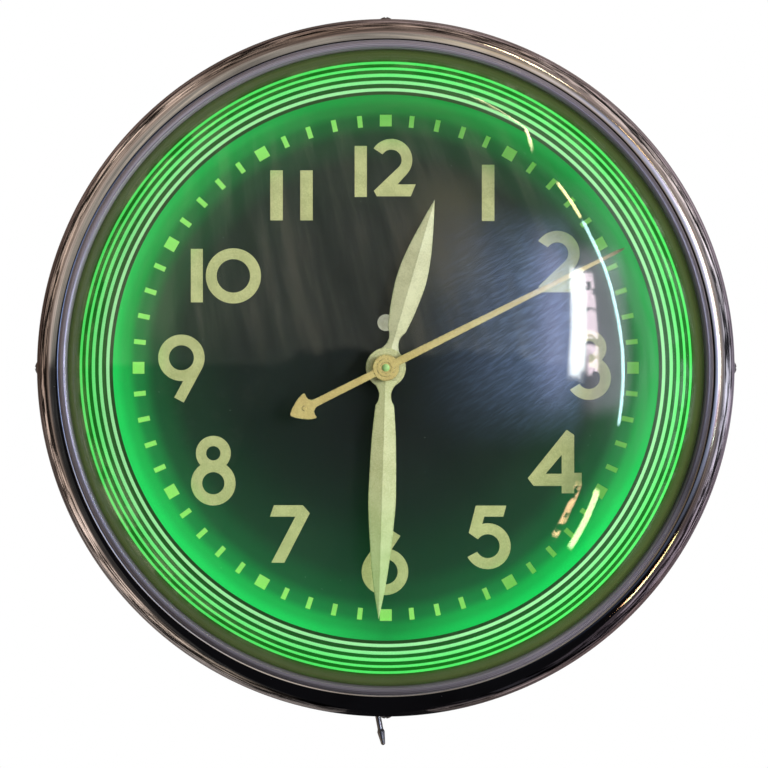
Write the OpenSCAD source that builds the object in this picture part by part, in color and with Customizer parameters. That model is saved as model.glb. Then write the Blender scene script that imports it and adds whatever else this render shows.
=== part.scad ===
// Neon-lit electric wall clock with a domed glass in a spun bezel.
// Frame: +Z up, the dial faces -Y, the wall lies at Y = 0, the clock axis is the Y axis.
// Inside the modules the clock is drawn lying on its back: x right, y up, z = distance from the wall.

/* [Case and bezel] */
// Outer diameter of the bezel
bezel_d = 508; // [460:1:600]
// Depth of the case from the wall to its front lip
case_depth = 104; // [98:1:140]
// Thickness of the spun sheet of case and bezel
sheet_t = 1.2; // [0.8:0.1:1.6]
// Corner radius between the back and the side of the case
corner_r = 18; // [8:1:26]
// Radius of the bezel's convex roll
roll_r = 16; // [13:0.5:19]
// Width of the bead that borders the glass
bead_w = 5.8; // [4.6:0.1:7]
// Length of the bezel skirt that slides over the case
skirt_len = 22; // [16:1:40]

/* [Glass] */
// Thickness of the domed glass
glass_t = 3; // [2:0.1:4]
// Outer radius of the rounded shoulder of the glass
knuckle_r = 66; // [58:1:74]
// Slope of the dome where the shoulder begins, in degrees
shoulder_slope = 22; // [18:0.5:25]
// Height of the gasket ring under the glass
gasket_h = 7; // [5:0.5:9]

/* [Dial] */
// How far the dial's edge lies inside the bezel's edge
dial_inset = 51; // [48:0.5:56]
// Thickness of the dial plate
dial_t = 1; // [0.8:0.1:1.5]
// Thickness of the printed numerals and markers
print_t = 0.2; // [0.1:0.05:0.3]
// Radius of the indicator window
window_r = 6.1; // [4:0.1:7]
// Height of the indicator window above the centre
window_up = 32.9; // [31:0.1:36]

/* [Hands] */
// Angle of the hour hand, clockwise from 12
hour_angle = 16.2; // [0:0.1:360]
// Angle of the minute hand, clockwise from 12
minute_angle = 181.65; // [0:0.05:360]
// Angle of the second hand, clockwise from 12
second_angle = 63.4; // [0:0.1:360]
// Gap from the tip of the hour hand to the dial's edge
hour_tip_gap = 76; // [60:1:90]
// Gap from the tip of the minute hand to the dial's edge
minute_tip_gap = 21; // [12:1:40]
// Gap from the tip of the second hand to the dial's edge
second_tip_gap = 10; // [6:1:30]
// Radius of the eye of the hour and minute hands
eye_r = 14.5; // [11:0.5:16]
// Thickness of the hands
hand_t = 0.8; // [0.5:0.1:1]

/* [Neon tube] */
// Radius of the glass tube
tube_r = 6.5; // [5:0.5:7.5]
// Bend radius where the tube turns back into the case
bend_r = 12; // [10:0.5:16]

/* [Movement] */
// Distance from the centre arbor to the third arbor and to the motor shaft
train_cd = 18; // [17.5:0.1:20]
// Distance from the centre arbor to the motion stud
motion_cd = 12; // [12:0.1:13]
// Radius of the second hand arbor
arbor_r = 0.75; // [0.7:0.05:0.9]
// Radial running clearance of arbors and tubes
run_gap = 0.05; // [0.03:0.01:0.08]
// Thickness of the movement plates
plate_t = 1.5; // [1:0.1:2]
// Width of the movement plates
plate_w = 68; // [66:1:80]

/* [Switch] */
// Distance from the wall to the switch
switch_d = 55; // [45:1:65]
// Sideways place of the switch
switch_x = -7; // [-12:1:12]
// Tilt of the lever from upright, in degrees
lever_tilt = 10.5; // [5:0.5:12]
// Length of the lever from its pivot to its tip
lever_len = 29; // [24:1:32]

/* [Hidden] */
$fn = 96;

// Small overlap that lets one cut run past a face
eps = 0.5;
// Gap between pieces that sit in each other without moving
seat_gap = 0.1;
// Gap between curved pieces that lie against each other
rest_gap = 0.3;

// Radii, from the outside in
bezel_r = bezel_d / 2;
skirt_gap = 0.3;
case_r = bezel_r - sheet_t - skirt_gap;
roll_c = bezel_r - roll_r;
crease_w = 1.3;
bead_out_r = roll_c - crease_w;
bead_in_r = bead_out_r - bead_w;
bead_r = bead_w / 2;
dial_r = bezel_r - dial_inset;

// Glass section: a spherical cap and a tighter shoulder that meet at shoulder_slope
rim_slope = 57.6;
rim_cut_slope = 63.5;
knuckle_c = bead_in_r - knuckle_r * sin(rim_slope);
cap_r = (knuckle_c + knuckle_r * sin(shoulder_slope)) / sin(shoulder_slope);
glass_rim_r = knuckle_c + knuckle_r * sin(rim_cut_slope);

// Depths, as distances from the wall
reflector_t = 1;
gasket_d = case_depth + reflector_t;
seat_d = gasket_d + gasket_h;
knuckle_d = seat_d - knuckle_r * cos(rim_cut_slope);
cap_d = knuckle_d + (knuckle_r - cap_r) * cos(shoulder_slope);
rim_front_d = knuckle_d + knuckle_r * cos(rim_slope);
roll_d = case_depth;
valley_d = roll_d + roll_r;
bead_d = valley_d + 1;
dial_back_d = case_depth - 6.2;
dial_front_d = dial_back_d + dial_t;
hour_d = dial_front_d + 11.7;
minute_d = hour_d + 6.5;
second_d = minute_d + 6;

// Case fittings
lip_in_r = bezel_r - 11;
screw_d = case_depth - 8;
screw_r = 2;
head_r = 4.7;
head_h = 1.9;
keyhole_up = 145;
keyhole_r = 6.5;
keyhole_slot = 6;
keyhole_run = 15;
hanger_t = 2;
steady_r = 2.5;
steady_in = 57;
bushing_d = 22;
bushing_bore = 4;
bushing_hole = 7;
bushing_flange = 9;
vent_r = 3.5;
vent_in = 37;
knob_r = 11;
knob_hole_r = 13.5;
knob_d = 1.5;
knob_h = 7.5;

// Reflector ring
reflector_in_r = dial_r - 15;
floor_in_r = dial_r + 1.5;
floor_out_r = bead_in_r + 1.1;
reflector_out_r = lip_in_r + 6;
floor_d = case_depth - 12;

// Neon tube
tube_ring_r = dial_r + 11;
tube_d = floor_d + reflector_t + 13;
tube_gap = 8;
leg_end_d = tube_d - 52;
boot_wall = 2.5;
boot_len = 24;

// Dial fixings
stud_r = 1.5;
stud_hole_r = 1.65;
nut_r = 3.2;
nut_h = 2.5;
outer_stud_r = dial_r - 7;
outer_studs = [for (a = [45:90:315]) outer_stud_r * [cos(a), sin(a)]];

// Movement, as distances from the wall
back_plate_d = case_depth - 46;
front_plate_d = back_plate_d + 18;
front_face_d = front_plate_d + plate_t;
plate_low = -40;
plate_high = 60;
pillar_x = plate_w / 2 - 6;
pillars = [for (x = [-pillar_x, pillar_x], y = [plate_low + 6, plate_high - 6]) [x, y]];
inner_studs = [for (x = [-pillar_x, pillar_x], y = [-20, 40]) [x, y]];
third_at = [-train_cd, 0];
motor_at = [0, train_cd];
motion_at = [0, -motion_cd];
set_at = [0, -2 * motion_cd];
flag_at = [22, window_up];
can_r = 24;
can_h = 30;
can_at = [0, train_cd + 14];
arbor_bore = arbor_r + run_gap;
cannon_r = 1.9;
hour_in_r = cannon_r + run_gap;
hour_r = 3.2;
shaft_r = 1.2;

// Gear teeth
drive_teeth = 20;
seconds_pinion_teeth = 8;
third_teeth = 60;
third_pinion_teeth = 8;
centre_teeth = 64;
cannon_teeth = 12;
motion_teeth = 36;
motion_pinion_teeth = 10;
hour_teeth = 40;
drive_m = 2 * train_cd / (drive_teeth + drive_teeth);
third_m = 2 * train_cd / (third_teeth + seconds_pinion_teeth);
centre_m = 2 * train_cd / (centre_teeth + third_pinion_teeth);
motion_m = 2 * motion_cd / (motion_teeth + cannon_teeth);
hour_m = 2 * motion_cd / (hour_teeth + motion_pinion_teeth);

// Transformer
core_w = 84;
core_h = 70;
core_t = 26;
core_d = 16;
core_leg = 28;
transformer_inset = 89;
transformer_down = tube_ring_r - transformer_inset;
bracket_t = 1.5;
foot_w = 16;

// Switch
switch_w = 28;
switch_t = 16;
switch_h = 24;
bushing_r = 5.9;
lever_bore = 3.8;
lever_ball = 3.6;
switch_face = sqrt(pow(case_r - sheet_t, 2) - pow(abs(switch_x) + switch_w / 2, 2)) - 0.02;
bushing_end = bezel_r - 0.1;
lever_pivot = case_r - 3;

// ---------- helpers ----------

// Stands the drawn clock upright: z becomes the distance from the wall.
module upright() {
    rotate([90, 0, 0]) children();
}

// Moves children to a point in the dial's plane at a distance from the wall.
module at(p, d = 0) {
    translate([p[0], p[1], d]) children();
}

// Turns a clock reading, clockwise from 12, into place for a hand drawn pointing up.
module clockwise(a) {
    rotate([0, 0, -a]) children();
}

// A tube or washer.
module tube(r_out, r_in, h) {
    difference() {
        cylinder(r = r_out, h = h);
        translate([0, 0, -eps]) cylinder(r = r_in, h = h + 2 * eps);
    }
}

// The part of a ring between two radii and two angles, counter-clockwise from a to b.
module arc_band(r_out, r_in, a, b) {
    reach = 2 * r_out;
    intersection() {
        difference() {
            circle(r_out);
            circle(r_in);
        }
        polygon(concat([[0, 0]], arc_points(reach, a, b, 6)));
    }
}

// Points along an arc from angle a to b, in n steps.
function arc_points(r, a, b, n) = [for (i = [0:n]) r * [cos(a + (b - a) * i / n), sin(a + (b - a) * i / n)]];

// A plain spur gear outline with slim straight-sided teeth; a tooth points to angle turn.
module gear_outline(teeth, m, turn) {
    pitch = 360 / teeth;
    tip = teeth * m / 2 + 0.8 * m;
    root = teeth * m / 2 - 1.2 * m;
    polygon([
        for (i = [0:teeth - 1], c = [[root, -0.2], [tip, -0.07], [tip, 0.07], [root, 0.2]])
            c[0] * [cos((i + c[1]) * pitch + turn), sin((i + c[1]) * pitch + turn)]
    ]);
}

module gear(teeth, m, h, bore, turn) {
    difference() {
        linear_extrude(h) gear_outline(teeth, m, turn);
        translate([0, 0, -eps]) cylinder(r = bore, h = h + 2 * eps);
    }
}

// A wheel lightened by round holes.
module spoked_gear(teeth, m, h, bore, turn) {
    r = teeth * m / 2;
    difference() {
        gear(teeth, m, h, bore, turn);
        for (a = [45:90:315])
            rotate([0, 0, a]) translate([r * 0.55, 0, -eps]) cylinder(r = r * 0.22, h = h + 2 * eps);
    }
}

// Half a tooth, to turn a gap of a gear to the angle where its mate has a tooth.
function gap_at(angle, teeth) = angle + 180 / teeth;

// A keyhole for a hanging screw.
module keyhole(grow, h) {
    cylinder(r = keyhole_r + grow, h = h);
    translate([-keyhole_slot / 2 - grow, 0, 0]) cube([keyhole_slot + 2 * grow, keyhole_run, h]);
    translate([0, keyhole_run, 0]) cylinder(r = keyhole_slot / 2 + grow, h = h);
}

// Vector helpers for the leads.
function unit(v) = v / norm(v);
function along(p, i) = unit(p[min(i + 1, len(p) - 1)] - p[max(i - 1, 0)]);

// A lead swept along its points, with flat ends; side is a direction that no stretch runs along.
module lead(p, r, side) {
    sides = 8;
    rings = len(p);
    pts = [
        for (i = [0:rings - 1])
            let (t = along(p, i), u = unit(cross(t, side)), v = cross(t, u))
                for (k = [0:sides - 1]) p[i] + r * (cos(k * 45) * u + sin(k * 45) * v)
    ];
    walls = [
        for (i = [0:rings - 2], k = [0:sides - 1])
            let (a = i * sides + k, b = i * sides + (k + 1) % sides)
                [a, a + sides, b + sides, b]
    ];
    first = [[for (k = [0:sides - 1]) k]];
    last = [[for (k = [sides - 1:-1:0]) (rings - 1) * sides + k]];
    polyhedron(points = pts, faces = concat(walls, first, last));
}

// ---------- case ----------

module case_section() {
    square([case_r - corner_r, sheet_t]);
    translate([case_r - corner_r, corner_r]) intersection() {
        difference() {
            circle(corner_r);
            circle(corner_r - sheet_t);
        }
        translate([0, -corner_r]) square(corner_r);
    }
    translate([case_r - sheet_t, corner_r]) square([sheet_t, case_depth - corner_r]);
    translate([lip_in_r, case_depth - sheet_t]) square([case_r - lip_in_r, sheet_t]);
}

// Where the small screws sit that hold the reflector ring to the lip.
reflector_screw_r = (lip_in_r + reflector_out_r) / 2;
reflector_screw_angles = [for (i = [0:5]) 30 + i * 60];
small_screw_r = 1.5;

module radial_hole(a, d, x, r) {
    rotate([0, 0, a]) translate([case_r - 12, x, d]) rotate([0, 90, 0]) cylinder(r = r, h = 20);
}

module case_pan() color("dimgray") upright() difference() {
    rotate_extrude($fn = 180) case_section();
    at([0, keyhole_up], -eps) keyhole(0.5, sheet_t + 2 * eps);
    at([0, steady_in - case_r], -eps) cylinder(r = steady_r, h = sheet_t + 2 * eps);
    at(set_at, -eps) cylinder(r = knob_hole_r, h = sheet_t + 2 * eps);
    for (side = [90, 270], k = [-3:3]) rotate([0, 0, side + k * 9])
        translate([case_r - vent_in, 0, -eps]) cylinder(r = vent_r, h = sheet_t + 2 * eps);
    for (p = rivet_places()) at(p, -eps) cylinder(r = rivet_r + seat_gap, h = sheet_t + 2 * eps);
    for (a = [0:90:270]) radial_hole(a, screw_d, 0, screw_r + run_gap);
    for (a = reflector_screw_angles) rotate([0, 0, a])
        translate([reflector_screw_r, 0, case_depth - 2 * sheet_t]) cylinder(r = small_screw_r + run_gap, h = 4);
    radial_hole(270, bushing_d, 0, bushing_hole + seat_gap);
    radial_hole(270, switch_d, switch_x, bushing_r + seat_gap);
}

module hanger_plate() color("silver") upright() at([0, keyhole_up], sheet_t) difference() {
    translate([-26, -18, 0]) cube([52, 48, hanger_t]);
    translate([0, 0, -eps]) keyhole(0, hanger_t + 2 * eps);
}

// Rubber bushing in the lower wall: flanges inside and outside, neck through the wall.
module cord_bushing() color("black") upright()
    translate([0, 0, bushing_d]) rotate([90, 0, 0]) difference() {
        union() {
            translate([0, 0, case_r + 0.05]) cylinder(r = bushing_flange, h = bezel_r - case_r - 0.1);
            translate([0, 0, case_r - 6]) cylinder(r = bushing_hole, h = 6.5);
            translate([0, 0, case_r - 4.8]) cylinder(r = bushing_flange, h = 2.4);
        }
        translate([0, 0, case_r - 10]) cylinder(r = bushing_bore, h = 20);
    }

module bezel_section() {
    // skirt
    translate([bezel_r - sheet_t, roll_d - skirt_len]) square([sheet_t, skirt_len]);
    // convex roll
    translate([roll_c, roll_d]) intersection() {
        difference() {
            circle(roll_r);
            circle(roll_r - sheet_t);
        }
        square(roll_r);
    }
    // crease between roll and bead
    translate([bead_out_r - sheet_t, valley_d - sheet_t]) square([crease_w + sheet_t, sheet_t]);
    translate([bead_out_r - sheet_t, valley_d - sheet_t]) square([sheet_t, bead_d - valley_d + sheet_t]);
    // bead
    translate([bead_out_r - bead_r, bead_d]) intersection() {
        difference() {
            circle(bead_r);
            circle(bead_r - sheet_t);
        }
        translate([-bead_r, 0]) square([2 * bead_r, bead_r]);
    }
    // inner leg that holds the glass
    translate([bead_in_r, rim_front_d + rest_gap]) square([sheet_t, bead_d - rim_front_d - rest_gap]);
}

module bezel() color("gainsboro") upright() difference() {
    rotate_extrude($fn = 180) bezel_section();
    for (a = [0:90:270]) radial_hole(a, screw_d, 0, screw_r + 0.2);
}

module bezel_screws() color("silver") upright()
    for (a = [0:90:270]) rotate([0, 0, a]) translate([0, 0, screw_d]) rotate([0, 90, 0]) {
        head_sphere = (head_r * head_r + head_h * head_h) / (2 * head_h);
        difference() {
            union() {
                translate([0, 0, bezel_r - 10]) cylinder(r = screw_r, h = 10.2);
                translate([0, 0, bezel_r + 0.05]) intersection() {
                    cylinder(r = head_r, h = head_h);
                    translate([0, 0, head_h - head_sphere]) sphere(head_sphere);
                }
            }
            translate([-6, -0.5, bezel_r + head_h - 0.7]) cube([12, 1, 2]);
        }
    }

// ---------- glass and light ----------

// The space under the dome's surface, down to the rim; t takes that much off the surface.
module dome_fill(t, low) {
    far = 2 * cap_r;
    edge = [sin(shoulder_slope), cos(shoulder_slope)];
    // The knuckle's share starts a little early, inside the cap, so that the two always join.
    early = [sin(shoulder_slope - 2), cos(shoulder_slope - 2)];
    intersection() {
        union() {
            translate([0, cap_d]) intersection() {
                circle(cap_r - t);
                polygon([[0, 0], [0, far], far * edge]);
            }
            translate([knuckle_c, knuckle_d]) intersection() {
                circle(knuckle_r - t);
                polygon([[0, 0], far * early, [far, 0]]);
            }
        }
        translate([0, low]) square(far);
    }
}

module glass_section() {
    difference() {
        dome_fill(0, seat_d);
        dome_fill(glass_t, seat_d - eps);
    }
}

module dome_glass() color("lightgreen", 0.4) upright() rotate_extrude($fn = 180) glass_section();

module glass_gasket() color("black") upright()
    translate([0, 0, gasket_d]) tube(glass_rim_r + 1.5, bead_in_r + 0.3, gasket_h, $fn = 180);

module reflector_section() {
    t = reflector_t;
    translate([floor_out_r - t, case_depth]) square([reflector_out_r - floor_out_r + t, t]);
    translate([floor_out_r - t, floor_d]) square([t, case_depth - floor_d + t]);
    translate([floor_in_r, floor_d]) square([floor_out_r - floor_in_r, t]);
    translate([floor_in_r, floor_d]) square([t, dial_back_d - floor_d]);
    translate([reflector_in_r, dial_back_d - t]) square([floor_in_r + t - reflector_in_r, t]);
}

// Places of the two tube legs, beside the gap at the bottom of the ring.
leg_places = [for (s = [-1, 1])
    tube_ring_r * [cos(270 + s * tube_gap), sin(270 + s * tube_gap)]
    - s * bend_r * [-sin(270 + s * tube_gap), cos(270 + s * tube_gap)]];

module reflector_ring() color("white") upright() difference() {
    rotate_extrude($fn = 180) reflector_section();
    for (p = leg_places) at(p, floor_d - eps) cylinder(r = tube_r + 2, h = reflector_t + 2 * eps);
    for (p = outer_studs) at(p, dial_back_d - 3) cylinder(r = stud_hole_r, h = 4);
    for (a = reflector_screw_angles) rotate([0, 0, a])
        translate([reflector_screw_r, 0, case_depth - eps]) cylinder(r = small_screw_r + 0.2, h = reflector_t + 2 * eps);
}

module reflector_screws() color("silver") upright()
    for (a = reflector_screw_angles) rotate([0, 0, a]) translate([reflector_screw_r, 0, 0]) {
        translate([0, 0, case_depth - 5]) cylinder(r = small_screw_r, h = 6.5);
        translate([0, 0, gasket_d]) cylinder(r = 2.8, h = 1.8);
    }

// A quarter bend and a straight leg; s is -1 or 1 for the side that it turns to.
module tube_leg(s) {
    rotate([0, 0, 270 - s * tube_gap]) translate([tube_ring_r, 0, tube_d]) {
        translate([0, 0, -bend_r]) rotate([s < 0 ? 180 : 0, -90, 0])
            rotate_extrude(angle = 90) translate([bend_r, 0]) circle(tube_r);
        translate([0, s * bend_r, leg_end_d - tube_d]) cylinder(r = tube_r, h = tube_d - leg_end_d - bend_r);
    }
}

module neon_tube() color("lime") upright() {
    rotate([0, 0, 270 + tube_gap]) translate([0, 0, tube_d])
        rotate_extrude(angle = 360 - 2 * tube_gap) translate([tube_ring_r, 0]) circle(tube_r);
    tube_leg(-1);
    tube_leg(1);
}

support_angles = [30, 90, 150, 210, 330];

module tube_supports() color("ivory") upright() for (a = support_angles) difference() {
    rotate([0, 0, a]) translate([tube_ring_r, 0, floor_d + reflector_t]) {
        cylinder(r = 7.5, h = 2);
        cylinder(r = 5.5, h = 11);
    }
    translate([0, 0, tube_d]) rotate_extrude($fn = 180) translate([tube_ring_r, 0]) circle(tube_r + rest_gap);
}

module electrode_boots() color("saddlebrown") upright() for (p = leg_places) at(p, leg_end_d - 4) difference() {
    cylinder(r = tube_r + boot_wall, h = boot_len);
    translate([0, 0, 4 - seat_gap]) cylinder(r = tube_r + seat_gap, h = boot_len);
}

// High-tension leads from the electrode boots to the posts on the transformer.
lead_r = 2.5;
wire_r = 1.2;
post_x = 15;
post_d = core_d + core_t + 20;

module ht_leads() color("firebrick") upright() for (s = [-1, 1]) {
    p = leg_places[s < 0 ? 0 : 1];
    top = -transformer_down - 13;
    lead([
        [p[0], p[1], leg_end_d - 4.2], [p[0], p[1], leg_end_d - 10], [p[0], p[1] + 4, leg_end_d - 16],
        [p[0], p[1] + 12, leg_end_d - 19], [p[0], -transformer_down - 60, leg_end_d - 14],
        [p[0], -transformer_down - 50, leg_end_d - 4], [s * (post_x + 14), -transformer_down - 42, leg_end_d + 5],
        [s * (post_x + 6), top - 16, post_d + 7], [s * (post_x + 1), top - 7, post_d + 11],
        [s * post_x, top - 1, post_d + 8], [s * post_x, top, post_d + 4], [s * post_x, top, post_d + 0.2]
    ], lead_r, [1, 0.2, 0.1]);
}

// ---------- transformer and terminals ----------

rivet_r = 2;
function rivet_places() = concat(
    [for (s = [-1, 1], t = [-1, 1]) [s * (core_w / 2 + 9), t * 20 - transformer_down]],
    [for (s = [-1, 1]) block_at + [s * 27, 0]]
);
block_at = [78, 59 - transformer_down];

module transformer_core() color("gray") upright() at([0, -transformer_down], core_d) difference() {
    translate([-core_w / 2, -core_h / 2, 0]) cube([core_w, core_h, core_t]);
    for (s = [-1, 1]) translate([s * 21 - 7, -21, -eps]) cube([14, 42, core_t + 2 * eps]);
}

module transformer_coil() color("peru") upright() at([0, -transformer_down], core_d) {
    difference() {
        translate([-27.6, -20.6, -12]) cube([55.2, 41.2, core_t + 24]);
        translate([-core_leg / 2 - 0.3, -21, -0.3]) cube([core_leg + 0.6, 42, core_t + 0.6]);
    }
    for (s = [-1, 1]) translate([s * post_x, -13, core_t + 12]) cylinder(r = 4, h = 8);
}

module transformer_brackets() color("silver") upright() for (s = [0, 1]) mirror([s, 0, 0])
    at([core_w / 2, -transformer_down]) difference() {
        union() {
            translate([0, -30, sheet_t]) cube([foot_w, 60, bracket_t]);
            translate([0, -30, sheet_t]) cube([bracket_t, 60, core_d + core_t - sheet_t + bracket_t]);
            translate([-8, -30, core_d + core_t]) cube([8, 60, bracket_t]);
            translate([-8, -30, core_d - bracket_t]) cube([8, 60, bracket_t]);
        }
        for (t = [-20, 20]) translate([9, t, 0]) cylinder(r = rivet_r + seat_gap, h = 6);
    }

module transformer_rivets() color("silver") upright() for (p = rivet_places()) {
    foot = p[1] < -transformer_down + 21 ? bracket_t : block_foot;
    at(p, 0.1) cylinder(r = rivet_r, h = sheet_t + foot);
    at(p, sheet_t + foot + 0.02) cylinder(r = 3.6, h = 1.6);
}

block_foot = 4;
terminal_x = [-15, -5, 5, 15];

module terminal_block() color("saddlebrown") upright() at(block_at, sheet_t) difference() {
    union() {
        translate([-32, -7, 0]) cube([64, 14, block_foot]);
        translate([-21, -7, 0]) cube([42, 14, 12]);
        for (x = terminal_x) translate([x, 0, 12]) cylinder(r = 2.6, h = 2);
    }
    for (s = [-1, 1]) translate([s * 27, 0, -eps]) cylinder(r = rivet_r + seat_gap, h = block_foot + 2 * eps);
}

// ---------- switch ----------

// The switch's two tabs stand off its centre, clear of the electrode boots.
tab_shift = 6;
tab_apart = 4;

module switch_body() color("black") upright() translate([switch_x, 0, switch_d]) rotate([90, 0, 0]) difference() {
    union() {
        translate([-switch_w / 2, -switch_t / 2, switch_face - switch_h]) cube([switch_w, switch_t, switch_h]);
        translate([0, 0, switch_face - 1]) cylinder(r = bushing_r, h = bushing_end - switch_face + 1);
        for (s = [-1, 1]) translate([tab_shift + s * tab_apart - 2, -0.5, switch_face - switch_h - 5]) cube([4, 1, 6]);
    }
    translate([0, 0, lever_pivot - 4]) cylinder(r = lever_bore, h = 20);
}

module switch_nut() color("silver") upright() translate([switch_x, 0, switch_d]) rotate([90, 0, 0])
    translate([0, 0, case_r + 0.1]) tube(8.2, bushing_r + seat_gap, bushing_end - case_r - 0.2);

module toggle_lever() color("silver") upright() translate([switch_x, -lever_pivot, switch_d])
    rotate([0, 0, lever_tilt]) rotate([90, 0, 0]) {
        tip_r = 1.6;
        sphere(lever_ball);
        cylinder(r = 2.1, h = lever_len - 12);
        translate([0, 0, lever_len - 12.1]) cylinder(r1 = 2.1, r2 = 2.8, h = 2.1);
        translate([0, 0, lever_len - 10.1]) cylinder(r1 = 2.8, r2 = tip_r, h = 10.1 - tip_r);
        translate([0, 0, lever_len - tip_r]) sphere(tip_r);
    }

// Wires from the switch tabs to the terminal block, up between the two electrode boots.
module switch_leads() color("khaki") upright() for (s = [-1, 1]) {
    tab_y = -switch_face + switch_h + 5;
    x = switch_x + tab_shift + s * tab_apart;
    end_x = block_at[0] + terminal_x[s < 0 ? 0 : 1];
    lead([
        [x, tab_y + 0.1, switch_d], [x, tab_y + 7, switch_d], [x + 1, tab_y + 15.5, switch_d - 2],
        [x + 4, tab_y + 23.5, switch_d - 10], [x + 9, tab_y + 29, switch_d - 21],
        [x + 21, tab_y + 33 + s * 2, switch_d - 32], [x + 38, tab_y + 36 + s * 2, 17],
        [62 + s * 3, tab_y + 42, 12 + s * 2], [66 + s * 3, -transformer_down - 10, 9],
        [66 + s * 3, -transformer_down + 18, 9], [end_x, block_at[1] - 26, 12], [end_x, block_at[1] - 15, 17],
        [end_x, block_at[1] - 6, 21], [end_x, block_at[1], 20], [end_x, block_at[1], sheet_t + 14.2]
    ], wire_r, [1, 0.3, 0.2]);
}

// ---------- movement ----------

module plate(d) {
    at([-plate_w / 2, plate_low], d) cube([plate_w, plate_high - plate_low, plate_t]);
}

module back_plate() color("goldenrod") upright() difference() {
    plate(back_plate_d);
    for (p = pillars) at(p, back_plate_d - eps) cylinder(r = stud_r + seat_gap, h = 4);
    for (p = [[0, 0], third_at]) at(p, back_plate_d - eps) cylinder(r = arbor_bore, h = 4);
    at(motor_at, back_plate_d - eps) cylinder(r = 2.5, h = 4);
    at(set_at, back_plate_d - eps) cylinder(r = shaft_r + run_gap, h = 4);
    for (s = [-1, 1]) at([s * (can_r + 4), can_at[1]], back_plate_d - eps) cylinder(r = stud_r + run_gap, h = 4);
}

module front_plate() color("goldenrod") upright() difference() {
    plate(front_plate_d);
    for (p = pillars) at(p, front_plate_d - eps) cylinder(r = stud_r + seat_gap, h = 4);
    for (p = inner_studs) at(p, front_plate_d - eps) cylinder(r = stud_hole_r, h = 4);
    at([0, 0], front_plate_d - eps) cylinder(r = cannon_r + run_gap, h = 4);
    at(third_at, front_plate_d - eps) cylinder(r = arbor_bore, h = 4);
    at(set_at, front_plate_d - eps) cylinder(r = shaft_r + run_gap, h = 4);
    for (p = [motion_at, flag_at]) at(p, front_plate_d - eps) cylinder(r = stud_r + seat_gap, h = 4);
}

module plate_pillars() color("goldenrod") upright() for (p = pillars) {
    at(p, back_plate_d + plate_t) cylinder(r = 3, h = front_plate_d - back_plate_d - plate_t);
    at(p, back_plate_d) cylinder(r = stud_r, h = front_face_d - back_plate_d);
}

module motion_stud() color("silver") upright() at(motion_at) {
    translate([0, 0, front_plate_d]) cylinder(r = stud_r, h = 13.5);
    translate([0, 0, front_plate_d + plate_t]) cylinder(r = 2.6, h = 1.8);
}

module dial_studs() color("silver") upright() {
    for (p = outer_studs) at(p, dial_back_d - 6.5) cylinder(r = stud_r, h = 6.5);
    for (p = inner_studs) at(p, front_plate_d - 3.5) cylinder(r = stud_r, h = dial_back_d - front_plate_d + 3.5);
}

module hex_nut(r_in) {
    difference() {
        cylinder(r = nut_r, h = nut_h, $fn = 6);
        translate([0, 0, -eps]) cylinder(r = r_in, h = nut_h + 2 * eps);
    }
}

module stud_nuts() color("silver") upright() {
    for (p = outer_studs) at(p, dial_back_d - reflector_t - nut_h) hex_nut(stud_r + run_gap);
    for (p = inner_studs) at(p, front_plate_d - nut_h) hex_nut(stud_r + run_gap);
}

module stud_spacers() color("silver") upright() for (p = inner_studs)
    at(p, front_face_d) tube(4, stud_hole_r, dial_back_d - front_face_d);

module flag_post() color("silver") upright() at(flag_at) {
    translate([0, 0, front_plate_d]) cylinder(r = stud_r, h = 3);
    translate([0, 0, front_face_d]) cylinder(r = 2.5, h = dial_back_d - front_face_d - 8);
    translate([0, 0, front_face_d]) cylinder(r = 1, h = dial_back_d - front_face_d - 2);
}

module indicator_flag() color("white") upright() at(flag_at, dial_back_d - 7.5) rotate([0, 0, 180]) {
    difference() {
        union() {
            cylinder(r = 3, h = 3.5);
            translate([0, -1, 1]) cube([flag_at[0], 2, 1]);
            translate([flag_at[0], 0, 1]) cylinder(r = window_r + 1.4, h = 1);
        }
        translate([0, 0, -eps]) cylinder(r = 1 + run_gap, h = 6);
    }
}

module motor_can() color("silver") upright() difference() {
    union() {
        at(can_at, back_plate_d - can_h) cylinder(r = can_r, h = can_h);
        at([-can_r - 7, can_at[1] - 4], back_plate_d - 1.5) cube([2 * can_r + 14, 8, 1.5]);
    }
    at(motor_at, back_plate_d - 10) cylinder(r = shaft_r + run_gap, h = 12);
    for (s = [-1, 1]) at([s * (can_r + 4), can_at[1]], back_plate_d - 3) cylinder(r = stud_r + seat_gap, h = 6);
}

module motor_screws() color("silver") upright() for (s = [-1, 1]) at([s * (can_r + 4), can_at[1]]) {
    translate([0, 0, back_plate_d - 3.5]) cylinder(r = 2.8, h = 2);
    translate([0, 0, back_plate_d - 3]) cylinder(r = stud_r, h = 5);
}

// Field frame of the motor: it holds the can in its lower eye and the coil on its upper bar.
frame_d = back_plate_d - 22;
frame_t = 10;
bar_y = can_at[1] + 42;

module motor_laminations() color("gray") upright() difference() {
    at([-can_r - 6, can_at[1] - can_r], frame_d) cube([2 * can_r + 12, bar_y + 10 - can_at[1] + can_r, frame_t]);
    at(can_at, frame_d - eps) cylinder(r = can_r + seat_gap, h = frame_t + 2 * eps);
    at([-18, bar_y - 14], frame_d - eps) cube([36, 14, frame_t + 2 * eps]);
}

module motor_coil() color("peru") upright() difference() {
    at([-16, bar_y - 6], frame_d - 6) cube([32, 22, frame_t + 12]);
    at([-20, bar_y - 0.3], frame_d - 0.3) cube([40, 10.6, frame_t + 0.6]);
}

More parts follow.
